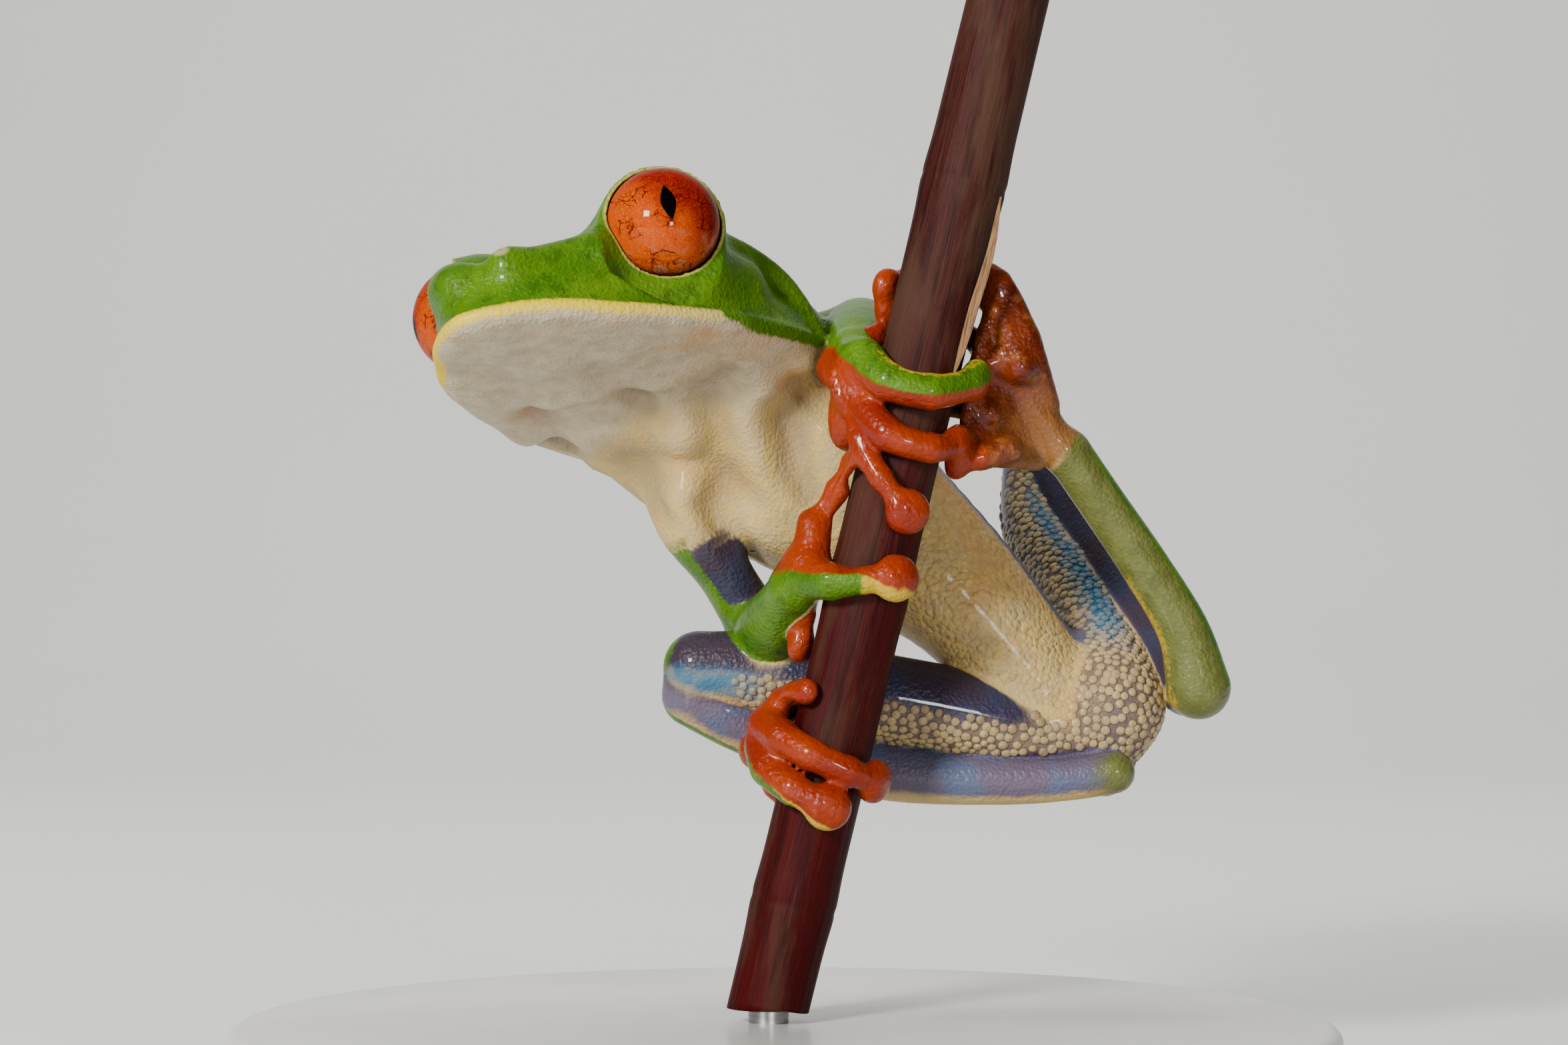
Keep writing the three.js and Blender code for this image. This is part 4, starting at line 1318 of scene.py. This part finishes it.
# Each dome is a point on top and rings of points round it, the last one just under the skin.
DOME_SIDES = 8
ring_slopes = np.radians((28, 52, 72, 100))
slopes = np.concatenate([[0], np.repeat(ring_slopes, DOME_SIDES)])
turns = np.tile(np.linspace(0, 2 * np.pi, DOME_SIDES, endpoint=False), len(ring_slopes))
turns = np.concatenate([[0], turns])
sideways = np.cos(turns)[:, None] * bead_across[:, None]
sideways = sideways + np.sin(turns)[:, None] * bead_over[:, None]
lift = (np.cos(slopes) * 0.48 - 0.05)[:, None] * bead_out[:, None]
dome = sideways * np.sin(slopes)[:, None] + lift
dome_points = candidates[chosen][:, None] + dome * bead_size[:, None, None]
top = [(0, 1 + i, 1 + (i + 1) % DOME_SIDES) for i in range(DOME_SIDES)]
quads = 1 + skinned_rings(np.zeros((len(ring_slopes), DOME_SIDES, 3)))
dome_faces = np.vstack([top, quads[:, [0, 3, 2]], quads[:, [0, 2, 1]]])
first_point = np.arange(len(chosen)) * len(slopes)
bead_faces = (first_point[:, None, None] + dome_faces).reshape(-1, 3)
bead_markings = {name: np.repeat(value[source], len(slopes)) for name, value in markings.items()}
# Painted light on each bead: full at its top, falling to painted shade round its foot.
bead_markings["bead"] = np.tile(np.cos(slopes), len(chosen))
beads = make_piece(
    "thigh_beads", dome_points.reshape(-1, 3), bead_faces, skin.data.materials[0], bead_markings
)
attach(beads, "root")

# ---- display stand -------------------------------------------------------------------------------
# A turned disc with a rounded edge, lacquered pale grey, and a steel rod pressed into it. The rod
# is let into the stem's level lower cut.


def turned(name, outline, centre, material, sides=96):
    """A solid of revolution about an upright line, from (radius, height) points."""
    angle = np.linspace(0, 2 * np.pi, sides, endpoint=False)
    rings = [
        np.stack([r * np.cos(angle), r * np.sin(angle), np.full(sides, z)], 1) + (*centre, 0)
        for r, z in outline
    ]
    rings = np.stack(rings)
    return make_piece(name, rings.reshape(-1, 3), skinned_rings(rings), material)


def lacquer_finish():
    finish = Finish("pale_lacquer", Coat_Weight=0.3, Coat_Roughness=0.15)
    spot = finish.place()
    mottle = finish.noise(spot, 9.0, 3.0)
    orange_peel = finish.noise(spot, 0.8, 2.0)
    colour = finish.mix(mottle.between(0.3, 0.7), (214, 212, 206), (206, 204, 198))
    return finish.apply(colour, 0.34 + mottle * 0.12, relief=orange_peel * 0.02)


def steel_finish():
    finish = Finish("brushed_steel", Metallic=1.0)
    spot = finish.place()
    lines = finish.noise(finish.vector("MULTIPLY", spot, (0.3, 0.3, 6.0)), 0.6, 3.0)
    colour = finish.mix(lines.between(0.3, 0.7), (186, 186, 184), (160, 160, 158))
    return finish.apply(colour, 0.24 + lines * 0.16, relief=lines * 0.01)


BASE_RADIUS, BASE_THICK, BASE_EDGE = 30.0, 4.0, 0.8
ROD_RADIUS, ROD_ASIDE = 1.1, 0.64  # the stem leans, so its cut lies a little to the left
quarter = np.linspace(0, np.pi / 2, 9)
edge = [
    (BASE_RADIUS - BASE_EDGE * (1 - np.cos(a)), BASE_THICK - BASE_EDGE * (1 - np.sin(a)))
    for a in quarter
]
foot_ring = [(0.01, 0), (15, 0), (BASE_RADIUS - 0.3, 0), (BASE_RADIUS, 0.3), (BASE_RADIUS, 1.6)]
top_ring = [(15, BASE_THICK), (0.01, BASE_THICK)]
base = turned("stand_disc", [*foot_ring, *edge, *top_ring], (0, 0), lacquer_finish())
rod_rim = [(ROD_RADIUS, BASE_THICK - 1), (ROD_RADIUS, STEM_CUT), (ROD_RADIUS, STEM_CUT + 1)]
rod_place = STEM_FOOT[:2] - (ROD_ASIDE, 0)
rod = turned("stand_pin", rod_rim, rod_place, steel_finish(), 48)
for piece, node, slot_name in ((base, "stand_base", "stand_base"), (rod, "stand_rod", "stand_rod")):
    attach(piece, "root")
    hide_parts(node)

# ---- studio --------------------------------------------------------------------------------------
# A pale seamless sweep, two soft panels either side of the camera, a broad one overhead, a wide
# one that washes the sweep behind the frog, and a weak fill all round.


def sweep_finish():
    finish = Finish("pale_sweep", Roughness=0.8, Specular_IOR_Level=0.2)
    spot = finish.place()
    tone = finish.noise(spot, 60.0, 2.0)
    colour = finish.mix(tone, (222, 221, 218), (226, 225, 222))
    return finish.apply(colour)


bend = np.linspace(0, np.pi / 2, 13)
sweep_line = [(-900, 0), (-300, 0), (120, 0), (300, 0)]
sweep_line += [(300 + 260 * np.sin(a), 260 - 260 * np.cos(a)) for a in bend[1:]]
sweep_line += [(560, 700), (560, 1400)]
sweep_points = [(x, y, z) for y, z in sweep_line for x in (-1500, 1500)]
sweep_faces = [(2 * k, 2 * k + 1, 2 * k + 3, 2 * k + 2) for k in range(len(sweep_line) - 1)]
floor = make_piece("floor_sweep", sweep_points, sweep_faces, sweep_finish())

middle, backdrop = (0, 0, 30), (0, 560, 120)
for name, place, aim, size, power in (
    ("panel_left", (-190, -290, 170), middle, 70, 2.3),
    ("panel_right", (110, -340, 50), middle, 40, 0.4),
    ("panel_top", (-40, 120, 420), middle, 260, 0.9),
    ("backdrop_wash", (0, 160, 420), backdrop, 400, 1.8),
):
    light = bpy.data.lights.new(name, "AREA")
    light.size = size * MM
    light.energy = power
    lamp = bpy.data.objects.new(name, light)
    lamp.location = Vector(place) * MM
    lamp.rotation_euler = (Vector(aim) - Vector(place)).to_track_quat("-Z", "Y").to_euler()
    lamp.visible_glossy = name in ("panel_left", "panel_right")
    bpy.context.scene.collection.objects.link(lamp)

world = bpy.data.worlds.new("soft_fill")
bpy.context.scene.world = world
world.use_nodes = True
world.node_tree.nodes["Background"].inputs["Color"].default_value = (0.9, 0.95, 1.0, 1.0)
world.node_tree.nodes["Background"].inputs["Strength"].default_value = 0.07

CAMERA_AWAY, CAMERA_HEIGHT, LENS = 235.2, 31.0, 100.0
camera_data = bpy.data.cameras.new("camera")
camera_data.lens = LENS
camera_data.sensor_width = 36.0
camera_data.clip_start = 0.01
camera = bpy.data.objects.new("camera", camera_data)
camera.location = (0, -CAMERA_AWAY * MM, CAMERA_HEIGHT * MM)
camera.rotation_euler = (np.pi / 2, 0, 0)
bpy.context.scene.collection.objects.link(camera)
bpy.context.scene.camera = camera
